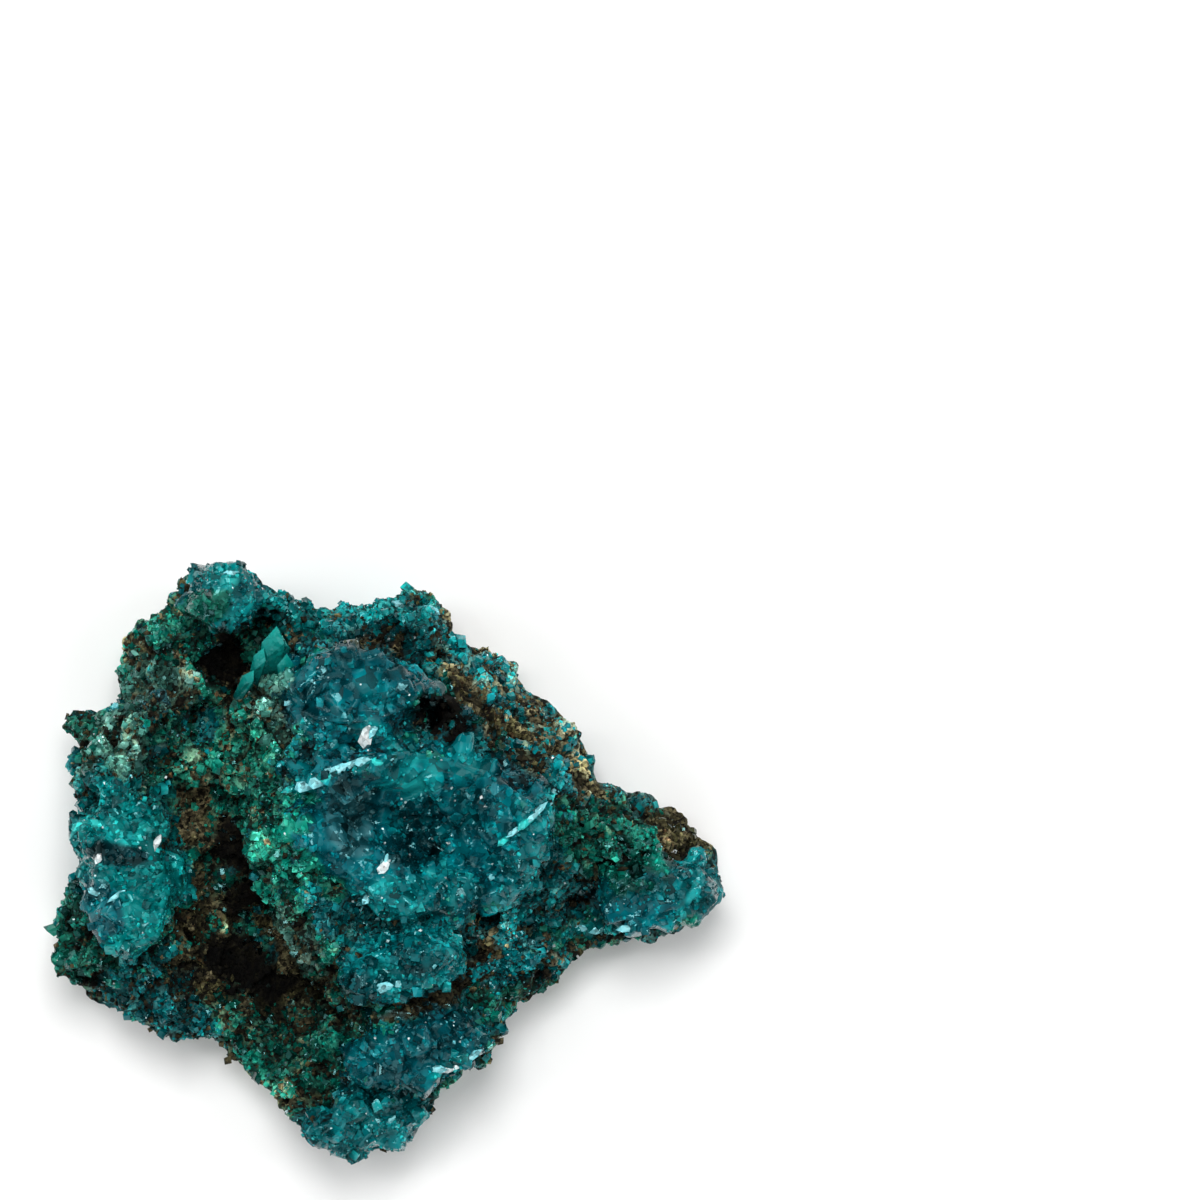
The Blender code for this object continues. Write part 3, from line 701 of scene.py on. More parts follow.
@dataclass(frozen=True)
class CrystalFinish:
    """Dioptase: blue-green crystal, clear by transmission, with bright flat faces.

    clear is the share of light that goes into the crystal, and density how quickly the body
    takes on its tint, in 1/m. roughness is that of the clearest spots and frost what the
    cloudiest add to it. shine is the faces' gleam. facet is the size of the faces in mm, slope
    how steeply they lean and contrast how much their colours differ, as painted shade on some
    faces and a painted highlight on others.
    """

    name: str
    clear: float
    roughness: float
    frost: float
    shine: float = 0.28
    tint: Colour = (0.02, 0.6, 0.6)
    density: float = 0.0
    facet: float = 0.5
    slope: float = 0.25
    contrast: float = 1.5

    @cache
    def material(self) -> bpy.types.Material:
        """Make the material, once.

        Returns:
            The crystal's material, whose base is the mesh's own painted colour.
        """
        made = bpy.data.materials.new(self.name)
        graph = Graph(made)
        veil = graph.noise(0.8, detail=3.0, roughness=0.6)
        faces, shades = graph.facets(self.facet, self.slope)
        height = faces + graph.noise(0.2, detail=2.0, roughness=0.5) * (0.02 * MM)
        if self.density:
            graph.absorb(self.tint, self.density)
        graph.finish({
            # Painted shade on some faces and a painted highlight on others
            "Base Color": graph.scaled(graph.painted("tint"), shades * self.contrast + 1.0),
            "Roughness": veil.clipped(0.35, 0.75) * self.frost + self.roughness,
            "IOR": 1.66,
            "Transmission Weight": self.clear,
            "Specular Tint": (0.4, 0.95, 1.0, 1.0),
            "Specular IOR Level": self.shine,
            "Normal": graph.bump(height, strength=1.0),
        })
        return made


@dataclass(frozen=True)
class FloorFinish:
    """A plain white sheet, the least bit uneven in its white."""

    name: str = "white_sheet"
    colour: Colour = (0.93, 0.93, 0.925)
    shadow: Colour = (0.9, 0.9, 0.9)

    def material(self) -> bpy.types.Material:
        """Make the material.

        Returns:
            The floor's material.
        """
        made = bpy.data.materials.new(self.name)
        graph = Graph(made)
        colour = graph.mix(graph.noise(60.0, detail=2.0) * 0.03, self.colour, self.shadow)
        graph.finish({"Base Color": colour, "Roughness": 1.0, "Specular IOR Level": 0.0})
        return made


def new_mesh(name: str, points: Array, corners: Array, starts: Array, tint: Array | None,
             material: bpy.types.Material, smooth: bool = False) -> bpy.types.Object:
    """Make a mesh object from arrays.

    Args:
        name: The object's name.
        points: The vertices, in metres.
        corners: The vertex of each face corner, face after face.
        starts: The first corner of each face.
        tint: Linear colours, one row a vertex.
        material: The material.
        smooth: Whether the faces are shaded smoothly.

    Returns:
        The object, linked to the scene.
    """
    mesh = bpy.data.meshes.new(name)
    mesh.vertices.add(len(points))
    mesh.vertices.foreach_set("co", points.astype(np.float32).ravel())
    mesh.loops.add(len(corners))
    mesh.loops.foreach_set("vertex_index", corners.astype(np.int32))
    mesh.polygons.add(len(starts))
    mesh.polygons.foreach_set("loop_start", starts.astype(np.int32))
    mesh.polygons.foreach_set("use_smooth", np.full(len(starts), smooth))
    mesh.update(calc_edges=True)
    mesh.validate()
    if tint is not None:
        layer = mesh.color_attributes.new("tint", "FLOAT_COLOR", "POINT")
        rows = np.concatenate([tint, np.ones((len(tint), 1))], axis=1)
        layer.data.foreach_set("color", rows.astype(np.float32).ravel())
    mesh.materials.append(material)
    obj = bpy.data.objects.new(name, mesh)
    bpy.context.scene.collection.objects.link(obj)
    return obj


def read_normals(mesh: bpy.types.Mesh) -> Array:
    """Read a mesh's vertex normals.

    Args:
        mesh: The mesh.

    Returns:
        One normal a row.
    """
    values = np.zeros(len(mesh.vertices) * 3, np.float32)
    mesh.vertex_normals.foreach_get("vector", values)
    return values.reshape(-1, 3).astype(float)


def search_tree(mesh: bpy.types.Mesh) -> BVHTree:
    """A search tree of a mesh's faces."""
    corners = [vertex.co.copy() for vertex in mesh.vertices]
    return BVHTree.FromPolygons(corners, [tuple(face.vertices) for face in mesh.polygons])


def upright(normals: Array, least: float) -> Array:
    """A share that is 1 where a skin faces up and falls to least on steep sides."""
    return least + (1.0 - least) * smooth_step(normals[:, 2], 0.1, 0.6)


def voxel_skin(mesh: bpy.types.Mesh, grid: float) -> tuple[Array, Array, Array]:
    """Take a mesh's skin again on a fine grid.

    Args:
        mesh: The mesh, whose bodies may overlap.
        grid: The fine grid, in mm.

    Returns:
        The new points, its four-sided faces and the normals at the points.
    """
    copy = bpy.data.objects.new("fine", mesh.copy())
    bpy.context.scene.collection.objects.link(copy)
    remesh = copy.modifiers.new("fine", "REMESH")
    remesh.mode = "VOXEL"
    remesh.voxel_size = grid * MM
    graph = bpy.context.evaluated_depsgraph_get()
    fine = copy.evaluated_get(graph).to_mesh()
    points = np.zeros(len(fine.vertices) * 3, np.float32)
    fine.vertices.foreach_get("co", points)
    faces = np.zeros(len(fine.polygons) * 4, np.int32)
    fine.polygons.foreach_get("vertices", faces)
    normals = read_normals(fine)
    bpy.data.objects.remove(copy)
    return points.reshape(-1, 3).astype(float), faces.reshape(-1, 4), normals


def eased(values: Array, faces: Array, rounds: int) -> Array:
    """Smooth values over a mesh.

    Args:
        values: The values, one row a vertex.
        faces: The four-sided faces.
        rounds: How many times each value becomes the mean of its faces' middles.

    Returns:
        The smoothed values.
    """
    count = np.bincount(faces.ravel(), minlength=len(values)).astype(float)
    count = np.maximum(count, 1.0).reshape((-1,) + (1,) * (values.ndim - 1))
    for _ in range(rounds):
        middles = values[faces].mean(axis=1)
        total = np.zeros_like(values)
        for corner in range(4):
            np.add.at(total, faces[:, corner], middles)
        values = total / count
    return values


@dataclass
class Surface:
    """A skin on which crystals can grow, as arrays with one row a vertex.

    light is how much of the colour is left there by painted shade, and crust how thickly small crystals
    stand.
    """

    points: Array
    faces: Array
    normals: Array
    ground: Ground
    light: Array
    crust: Array

    @classmethod
    def join(cls, parts: list["Surface"]) -> "Surface":
        """Make one surface of several.

        Args:
            parts: The surfaces.

        Returns:
            Them all as one.
        """
        starts = np.cumsum([0] + [len(part.points) for part in parts[:-1]])
        return cls(
            np.concatenate([part.points for part in parts]),
            np.concatenate([part.faces + start for part, start in zip(parts, starts)]),
            np.concatenate([part.normals for part in parts]),
            Ground.join([part.ground for part in parts]),
            np.concatenate([part.light for part in parts]),
            np.concatenate([part.crust for part in parts]),
        )


@dataclass
class RockSkin:
    """The host rock's skin, taken again on a fine grid and roughened.

    All lengths are in mm. grid is the fine grid. relief lists the size and depth of each layer
    of roughness. crease and nick are how deep the skin falls between its lumps and its knobs,
    step how much the lumps differ in height, and pore_depth how deep the pores are. bed is how
    far the skin is raised under a cluster of crystals, and bed_reach where that starts to fall
    off, outwards, and where it ends. Each point looks for open sky with sky_rays rays as long
    as sky_reach, from sky_lift above the skin, and sky_rounds is how often the result is
    smoothed. Where little sky is open, shade is painted into the colours of the rock and of the
    crystals sown on it.
    """

    grid: float = 0.45
    relief: tuple[tuple[float, float], ...] = ((5.0, 0.4), (2.3, 0.35), (1.15, 0.34))
    crease: float = 1.5
    nick: float = 0.8
    step: float = 1.3
    pore_depth: float = 0.9
    bed: float = 1.15
    bed_reach: tuple[float, float] = (0.5, 1.3)
    sky_rays: int = 24
    sky_reach: float = 8.0
    sky_lift: float = 1.3
    sky_rounds: int = 3
    points: Array = field(init=False)
    normals: Array = field(init=False)
    faces: Array = field(init=False)
    light: Array = field(init=False)
    ground: Ground = field(init=False)
    bedded: Array = field(init=False)
    owner: Array = field(init=False)

    def build(self, rock: bpy.types.Object, clusters: list[bpy.types.Object]) -> bpy.types.Object:
        """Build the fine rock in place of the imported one.

        Args:
            rock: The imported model's rock.
            clusters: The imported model's crystal clusters.

        Returns:
            The fine rock as a new object.
        """
        self.points, self.faces, self.normals = voxel_skin(rock.data, self.grid)
        self._find_beds(clusters)
        self.ground = Ground(self.points)
        self._roughen()
        # Painted shade: where the rock leaves little sky open, its colours and those of the crystals
        # sown on it are darkened
        self.light = 0.55 + 0.45 * smooth_step(self._openness(rock), 0.2, 0.7)
        piece = new_mesh("rock_skin", self.points, self.faces.ravel(), np.arange(len(self.faces)) * 4,
                         self._tint(), RockFinish().material(), smooth=True)
        self.normals = read_normals(piece.data)
        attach(piece, "root")
        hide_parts("host_rock")
        LOG.info("%s: %d faces", piece.name, len(self.faces))
        return piece

    def surface(self) -> Surface:
        """The skin as a surface to grow on, bare where a cluster covers it."""
        crust = 1.0 - smooth_step(self.bedded, 0.5, 0.9)
        return Surface(self.points, self.faces, self.normals, self.ground, self.light, crust)

    def _find_beds(self, clusters: list[bpy.types.Object]) -> None:
        """Find which points lie under a cluster, and under which one.

        Args:
            clusters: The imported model's crystal clusters.
        """
        self.owner = np.full(len(self.points), -1)
        gap = np.full(len(self.points), np.inf)
        margin = self.bed_reach[1] * MM
        for index, cluster in enumerate(clusters):
            tree = search_tree(cluster.data)
            low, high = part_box(cluster.name)
            inside = np.all((self.points > np.array(low) - margin)
                            & (self.points < np.array(high) + margin), axis=1)
            for at in np.flatnonzero(inside):
                found = tree.find_nearest(Vector(self.points[at]), margin)
                if found[0] is not None and found[3] / MM < gap[at]:
                    gap[at] = found[3] / MM
                    self.owner[at] = index
        self.bedded = 1.0 - smooth_step(gap, *self.bed_reach)

    def _roughen(self) -> None:
        """Raise the beds and push the skin in by the layers of roughness."""
        lumps, knobs = self.ground.lumps, self.ground.knobs
        push = self.bed * self.bedded
        # The relief is weaker under the clusters and on the sides
        ease = (1.0 - 0.6 * self.bedded) * (0.5 + 0.5 * smooth_step(self.normals[:, 2], -0.1, 0.5))
        push -= ease * self.crease * (1.0 - smooth_step(lumps.edge, 0.0, 0.6))
        push += ease * self.step * (eased(lumps.value(seed=97), self.faces, rounds=2) - 0.6)
        push -= ease * self.pore_depth * self.ground.pore
        push -= ease * self.nick * (1.0 - smooth_step(knobs.edge, 0.0, 0.5))
        for layer, (size, depth) in enumerate(self.relief):
            value = value_noise(self.points, size, seed=20 + layer)
            push += depth * ease * (0.35 - 1.3 * np.abs(value))
        high = smooth_step(self.points[:, 2], 0.2 * MM, 1.2 * MM)
        self.points = self.points + self.normals * (push * high * MM)[:, None]

    def _openness(self, rock: bpy.types.Object) -> Array:
        """Find how much of the sky over each point the rock leaves free.

        Args:
            rock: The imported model's rock.

        Returns:
            The free share at each point, smoothed.
        """
        tree = search_tree(rock.data)
        steps = np.arange(self.sky_rays) + 0.5
        rise, turn = 1.0 - 2.0 * steps / self.sky_rays, steps * math.pi * (3.0 - math.sqrt(5.0))
        flat = np.sqrt(1.0 - rise * rise)
        rays = np.column_stack([flat * np.cos(turn), flat * np.sin(turn), rise])
        starts = self.points + self.normals * (self.sky_lift * MM)
        facing = self.normals @ rays.T
        reach = self.sky_reach * MM
        free = np.zeros(len(self.points))
        directions = [Vector(ray) for ray in rays]
        for at, start in enumerate(starts):
            origin = Vector(start)
            seen = np.flatnonzero(facing[at] > 0.15)
            hits = [tree.ray_cast(origin, directions[ray], reach)[0] is None for ray in seen]
            free[at] = sum(hits) / max(len(hits), 1)
        return eased(free, self.faces, self.sky_rounds)

    def _tint(self) -> Array:
        """Work out the rock's colours: earth tones, greener on the beds, with painted shade in the pits
        and where little sky is open.

        Returns:
            Linear colours, one row a point.
        """
        count, ground = len(self.points), self.ground
        level = 0.5 + 0.5 * value_noise(self.points, size=1.6, seed=42) + ground.level
        stray = 0.1 * np.random.default_rng(3).normal(size=count)
        earth = ground[np.arange(count)].use_only({Tone.BROWN: 0.6, Tone.OLIVE: 0.3, Tone.RUST: 0.1})
        tint = earth.colours(level, np.clip(ground.pick + stray, 0.0, 0.99))
        wet = ground.colours(level * 0.75, ground.pick)
        share = 0.9 * self.bedded + smooth_step(ground.cover, 0.35, 0.95) * 0.85
        tint += (wet - tint) * np.clip(share, 0.0, 1.0)[:, None]
        # Painted shade from the open sky and from the ground
        return tint * (self.light * ground.shade)[:, None]


class Habit(Enum):
    """The crystal shapes: a block of six rhombs, a capped prism and a grain of eight triangles."""

    BLOCK = "block"
    PRISM = "prism"
    GRAIN = "grain"

    def form(self) -> tuple[Array, list[tuple[int, ...]]]:
        """The shape with radius 1 and its tip at height 0, pointing up.

        Returns:
            The vertices, and the corners of each face.
        """
        if self is Habit.GRAIN:
            points = np.vstack([self._ring([-0.8] * 4), [[0, 0, -1.6], [0, 0, 0]]])
            sides = [(k, (k + 1) % 4) for k in range(4)]
            return points, [(5, *side) for side in sides] + [(4, *side[::-1]) for side in sides]
        shoulder = self._ring([-0.617, -1.233] * 3)
        if self is Habit.BLOCK:
            points = np.vstack([shoulder, [[0, 0, -1.85], [0, 0, 0]]])
            tops = [(7, k, k + 1, (k + 2) % 6) for k in (0, 2, 4)]
            feet = [(6, (k + 3) % 6, (k + 2) % 6, k + 1) for k in (0, 2, 4)]
            return points, tops + feet
        foot = self._ring([-2.4] * 6) * [0.85, 0.85, 1.0]
        points = np.vstack([foot, shoulder, [[0, 0, 0]]])
        sides = [(k, (k + 1) % 6, 6 + (k + 1) % 6, 6 + k) for k in range(6)]
        caps = [(12, 6 + k, 6 + k + 1, 6 + (k + 2) % 6) for k in (0, 2, 4)]
        return points, sides + caps + [(5, 4, 3, 2, 1, 0)]

    @staticmethod
    def _ring(heights: list[float]) -> Array:
        """Corners at equal turns on a circle of radius 1, at these heights."""
        turns = [math.radians(360 / len(heights) * k) for k in range(len(heights))]
        return np.array([[math.cos(turn), math.sin(turn), rise] for turn, rise in zip(turns, heights)])


@dataclass
class CrystalCrop:
    """Many crystals as arrays, one row a crystal: tips, directions, sizes and colours.

    uneven is how far each corner may stray, as a share of the crystal's radius, and fade how far
    below the tip, in radii, the colour has become the root's. For sown crystals the darker root
    is painted shade and the lighter tip a painted highlight.
    """

    tips: Array
    aims: Array
    radii: Array
    stretch: Array
    root_colours: Array
    tip_colours: Array
    spins: Array
    uneven: float = 0.14
    fade: float = 1.8

    def piece(self, name: str, habit: Habit, material: bpy.types.Material) -> bpy.types.Object:
        """Join the crystals into one mesh.

        Args:
            name: The new object's name.
            habit: The crystals' shape.
            material: Their material.

        Returns:
            The new object.
        """
        return new_mesh(name, *self.arrays(habit), material)

    def arrays(self, habit: Habit) -> tuple[Array, Array, Array, Array]:
        """The crystals as arrays.

        Args:
            habit: The crystals' shape.

        Returns:
            The points, the vertex of each face corner, the faces' first corners and the tints.
        """
        unit, faces = habit.form()
        count, size = len(self.tips), len(unit)
        z_axis = self.aims
        helper = np.where(np.abs(z_axis[:, 2:3]) < 0.9, [[0.0, 0.0, 1.0]], [[1.0, 0.0, 0.0]])
        x_axis = np.cross(helper, z_axis)
        x_axis /= np.linalg.norm(x_axis, axis=1)[:, None]
        y_axis = np.cross(z_axis, x_axis)
        cos, sin = np.cos(self.spins)[:, None], np.sin(self.spins)[:, None]
        x_axis, y_axis = x_axis * cos + y_axis * sin, y_axis * cos - x_axis * sin
        uneven = np.random.default_rng(count).uniform(1.0 - self.uneven, 1.0 + self.uneven,
                                                      (count, size, 3))
        scaled = unit[None] * uneven * (self.radii[:, None] * self.stretch)[:, None, :]
        points = (scaled[..., 0:1] * x_axis[:, None] + scaled[..., 1:2] * y_axis[:, None]
                  + scaled[..., 2:3] * z_axis[:, None] + self.tips[:, None])
        over = points[..., 2].max(axis=1) - TOP * MM
        points[..., 2] -= np.maximum(over, 0.0)[:, None]
        points[..., 2] = np.maximum(points[..., 2], 0.0)
        # The colour fades from the root's to the tip's: for sown crystals, painted shade into a painted
        # highlight
        rise = np.clip((unit[:, 2] + self.fade) / self.fade, 0.0, 1.0)[None, :, None]
        tint = self.root_colours[:, None] + (self.tip_colours - self.root_colours)[:, None] * rise
        flat = np.concatenate([np.array(face) for face in faces])
        sizes = np.array([len(face) for face in faces])
        begin = np.concatenate([[0], np.cumsum(sizes)[:-1]])
        corners = (flat[None] + np.arange(count)[:, None] * size).ravel()
        starts = (begin[None] + np.arange(count)[:, None] * len(flat)).ravel()
        return points.reshape(-1, 3), corners, starts, tint.reshape(-1, 3)


@dataclass
class Thrown(Rows):
    """Points thrown on a surface, their normals and the vertex that each is nearest to."""

    spots: Array
    normals: Array
    vertex: Array


@dataclass
class Sower:
    """Sows crystals over a surface.

    tone_stray and light_stray are how far a crystal's tone and lightness stray,
    root_light the share of its lightness left at its root, which is painted shade, and
    tip_light what its tip has more, a painted highlight. stretches holds the limits
    for its two widths and its length.
    """

    surface: Surface
    seed: int
    tone_stray: float = 0.14
    light_stray: float = 0.2
    root_light: float = 0.3
    tip_light: float = 0.1
    stretches: tuple[tuple[float, float], ...] = ((0.8, 1.15), (0.75, 1.1), (1.0, 1.7))

    def __post_init__(self) -> None:
        """Work out the faces' areas."""
        self.rng = np.random.default_rng(self.seed)
        corners = self.surface.points[self.surface.faces]
        across = corners[:, 2] - corners[:, 0]
        along = corners[:, 3] - corners[:, 1]
        self.areas = 0.5 * np.linalg.norm(np.cross(across, along), axis=1)

    def throw(self, count: int, liking: Array) -> Thrown:
        """Throw points on the surface.

        Args:
            count: How many.
            liking: The weight of each vertex.

        Returns:
            The points.
        """
        surface = self.surface
        chance = self.areas * liking[surface.faces[:, 0]]
        chosen = self.rng.choice(len(chance), count, p=chance / chance.sum())
        shares = self.rng.random((count, 2))
        quad = surface.faces[chosen]
        u, v = shares[:, 0:1], shares[:, 1:2]
        weights = np.stack([(1 - u) * (1 - v), u * (1 - v), u * v, (1 - u) * v], axis=1)
        spots = (surface.points[quad] * weights).sum(axis=1)
        normals = (surface.normals[quad] * weights).sum(axis=1)
        normals /= np.maximum(np.linalg.norm(normals, axis=1), 1e-9)[:, None]
        nearest = quad[np.arange(count), weights[..., 0].argmax(axis=1)]
        return Thrown(spots, normals, nearest)

    def thin(self, spots: Array, radii: Array, spacing: float) -> Array:
        """Pick spots, in order, that stand apart.

        Args:
            spots: The spots, in metres.
            radii: The radius of the crystal at each, in metres.
            spacing: The least distance between two, as a share of their radii together.

        Returns:
            The numbers of the spots that are kept.
        """
        cell = 2.0 * radii.max() * spacing
        grid: dict[tuple[int, int, int], list[int]] = {}
        kept = []
        keys = np.floor(spots / cell).astype(int)
        for at in range(len(spots)):
            key = tuple(keys[at])
            near = [n for step in product((-1, 0, 1), repeat=3)
                    for n in grid.get((key[0] + step[0], key[1] + step[1], key[2] + step[2]), ())]
            if near:
                gaps = np.linalg.norm(spots[near] - spots[at], axis=1)
                if np.any(gaps < spacing * (radii[near] + radii[at])):
                    continue
            grid.setdefault(key, []).append(at)
            kept.append(at)
        return np.array(kept, int)

    def grow(self, thrown: Thrown, radii: Array, stand: Array, lean: float,
             lightness: float, tones: dict[Tone, float] | None = None) -> CrystalCrop:
        """Grow a crystal at each thrown point.

        Args:
            thrown: The points.
            radii: The crystals' radii, in metres.
            stand: How far each tip stands off the skin, in radii.
            lean: How far they lean, as a share of the normal's length.
            lightness: How light their colours are, from 0 to 1.
            tones: Their tones, where these aren't the ground's.

        Returns:
            The crystals.
        """
        count = len(radii)
        normals = thrown.normals
        aims = normals + lean * self.rng.normal(size=(count, 3))
        aims /= np.linalg.norm(aims, axis=1)[:, None]
        facing = (aims * normals).sum(axis=1)
        aims = np.where((facing < 0)[:, None], -aims, aims)
        tips = thrown.spots + normals * (stand * radii)[:, None]
        ground = self.surface.ground[thrown.vertex]
        if tones:
            ground.use_only(tones)
        stray, flicker = self.tone_stray, self.light_stray
        pick = np.clip(ground.pick + stray * self.rng.normal(size=count), 0.0, 0.999)
        level = np.clip(lightness + ground.level + flicker * self.rng.normal(size=count), 0.0, 1.0)
        # Painted shade from the open sky and the ground, and painted shade at the root fading to a
        # painted highlight at the tip
        shade = (self.surface.light[thrown.vertex] * ground.shade)[:, None]
        roots = ground.colours(level * self.root_light, pick) * shade
        ends = ground.colours(np.clip(level + self.tip_light, 0.0, 1.0), pick) * shade
        stretch = np.column_stack([self.rng.uniform(*limits, count) for limits in self.stretches])
        spins = self.rng.uniform(0, math.tau, count)
        return CrystalCrop(tips, aims, radii, stretch, roots, ends, spins)


@dataclass(frozen=True)
class Growth:
    """How one cluster's crystals are.

    small and large are the radii of its crystals in mm, tries how many are thrown, and crust how
    thickly small crystals stand on them.
    """

    small: float
    large: float
    crust: float = 0.8
    tries: int = 1500


@dataclass
class Clusters:
    """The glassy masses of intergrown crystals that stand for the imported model's clusters.

    grid is the fine grid on which the crystals grow together, in mm, and rounds how often the
    skin is smoothed. power makes small crystals commoner, spacing is how near two may stand, as
    a share of their radii together, and stand how far they stand off, in radii.
    """

    skin: RockSkin
    nodes: dict[str, bpy.types.Object]
    finish: CrystalFinish = CrystalFinish("clear_dioptase", clear=0.4, roughness=0.04, frost=0.06,
                                          shine=0.2, tint=(0.01, 0.6, 0.62), density=1100.0,
                                          facet=1.15, slope=0.48, contrast=1.9)
    grid: float = 0.3
    rounds: int = 1
    seed: int = 11
    power: float = 1.6
    spacing: float = 0.5
    stand: tuple[float, float] = (0.2, 0.7)
    lean: float = 0.3
    lightness: float = 0.4
    growths: dict[str, Growth] = field(default_factory=lambda: {
        "central_hollow_crystals": Growth(0.6, 1.6, 0.5, 3000),
        "upper_crystal_cluster": Growth(0.5, 1.5, 0.5),
        "left_lobe_crystals": Growth(0.5, 1.2, 0.55, 2500),
        "lower_ridge_crystals": Growth(0.5, 1.2, 0.5),
        "lower_crystal_cluster": Growth(0.5, 1.5, 0.5),
        "foot_crystal_cluster": Growth(0.5, 1.2, 0.6),
        "right_tip_crystals": Growth(0.5, 1.2, 0.5),
        "knob_crystals": Growth(0.4, 0.9, 0.8),
    })

    def build(self) -> list[Surface]:
        """Build one piece for each cluster.

        Returns:
            Their surfaces.
        """
        sower = Sower(self.skin.surface(), self.seed)
        made = []
        for index, (name, growth) in enumerate(self.growths.items()):
            mine = (self.skin.owner == index) & (self.skin.bedded > 0.5)
            thrown = sower.throw(growth.tries, mine.astype(float))
            spread = sower.rng.random(growth.tries) ** self.power
            radii = np.sort((growth.small + (growth.large - growth.small) * spread) * MM)[::-1]
            kept = sower.thin(thrown.spots, radii, self.spacing)
            stand = sower.rng.uniform(*self.stand, len(kept)) * upright(thrown[kept].normals, 0.4)
            crop = sower.grow(thrown[kept], radii[kept], stand, self.lean, self.lightness)
            made.append(self._grown_together(name, crop, growth))
            LOG.info("%s: %d crystals", name, len(kept))
        return made

    def _grown_together(self, name: str, crop: CrystalCrop, growth: Growth) -> Surface:
        """Make one mass of a packed cluster and the crystals on it.

        Args:
            name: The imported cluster's name.
            crop: The crystals.
            growth: How they are.

        Returns:
            The mass as a surface.
        """
        material = self.finish.material()
        points, corners, starts, _ = crop.arrays(Habit.PRISM)
        loose = new_mesh("loose", points, corners, starts, None, material)
        builder = bmesh.new()
        builder.from_mesh(loose.data)
        builder.from_mesh(self.nodes[name].data)
        builder.to_mesh(loose.data)
        builder.free()
        points, faces, _ = voxel_skin(loose.data, self.grid)
        bpy.data.objects.remove(loose)
        points = eased(points, faces, self.rounds)
        points[:, 2] = np.minimum(points[:, 2], TOP * MM)
        ground = Ground(points)
        facet = Lumps.around(points, size=1.5, seed=85)
        level = np.clip(0.42 + ground.level + 0.3 * (facet.value(seed=86) - 0.5), 0.0, 1.0)
        # Painted shade from the ground darkens the mass's colours
        tint = eased(ground.colours(level, ground.pick), faces, 1) * ground.shade[:, None]
        made = new_mesh(f"{name}_fine", points, faces.ravel(), np.arange(len(faces)) * 4, tint,
                        material, smooth=True)
        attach(made, "root")
        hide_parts(name)
        count = len(points)
        return Surface(points, faces, read_normals(made.data), ground, np.ones(count),
                       np.full(count, growth.crust))


@dataclass(frozen=True)
class Glint:
    """A bright crystal whose pale colour is a painted highlight: its place, half length and half width
    in mm, turn in degrees and tone.
    """

    x: float
    y: float
    half_length: float
    half_width: float
    turn: float
    tone: Tone = Tone.PALE


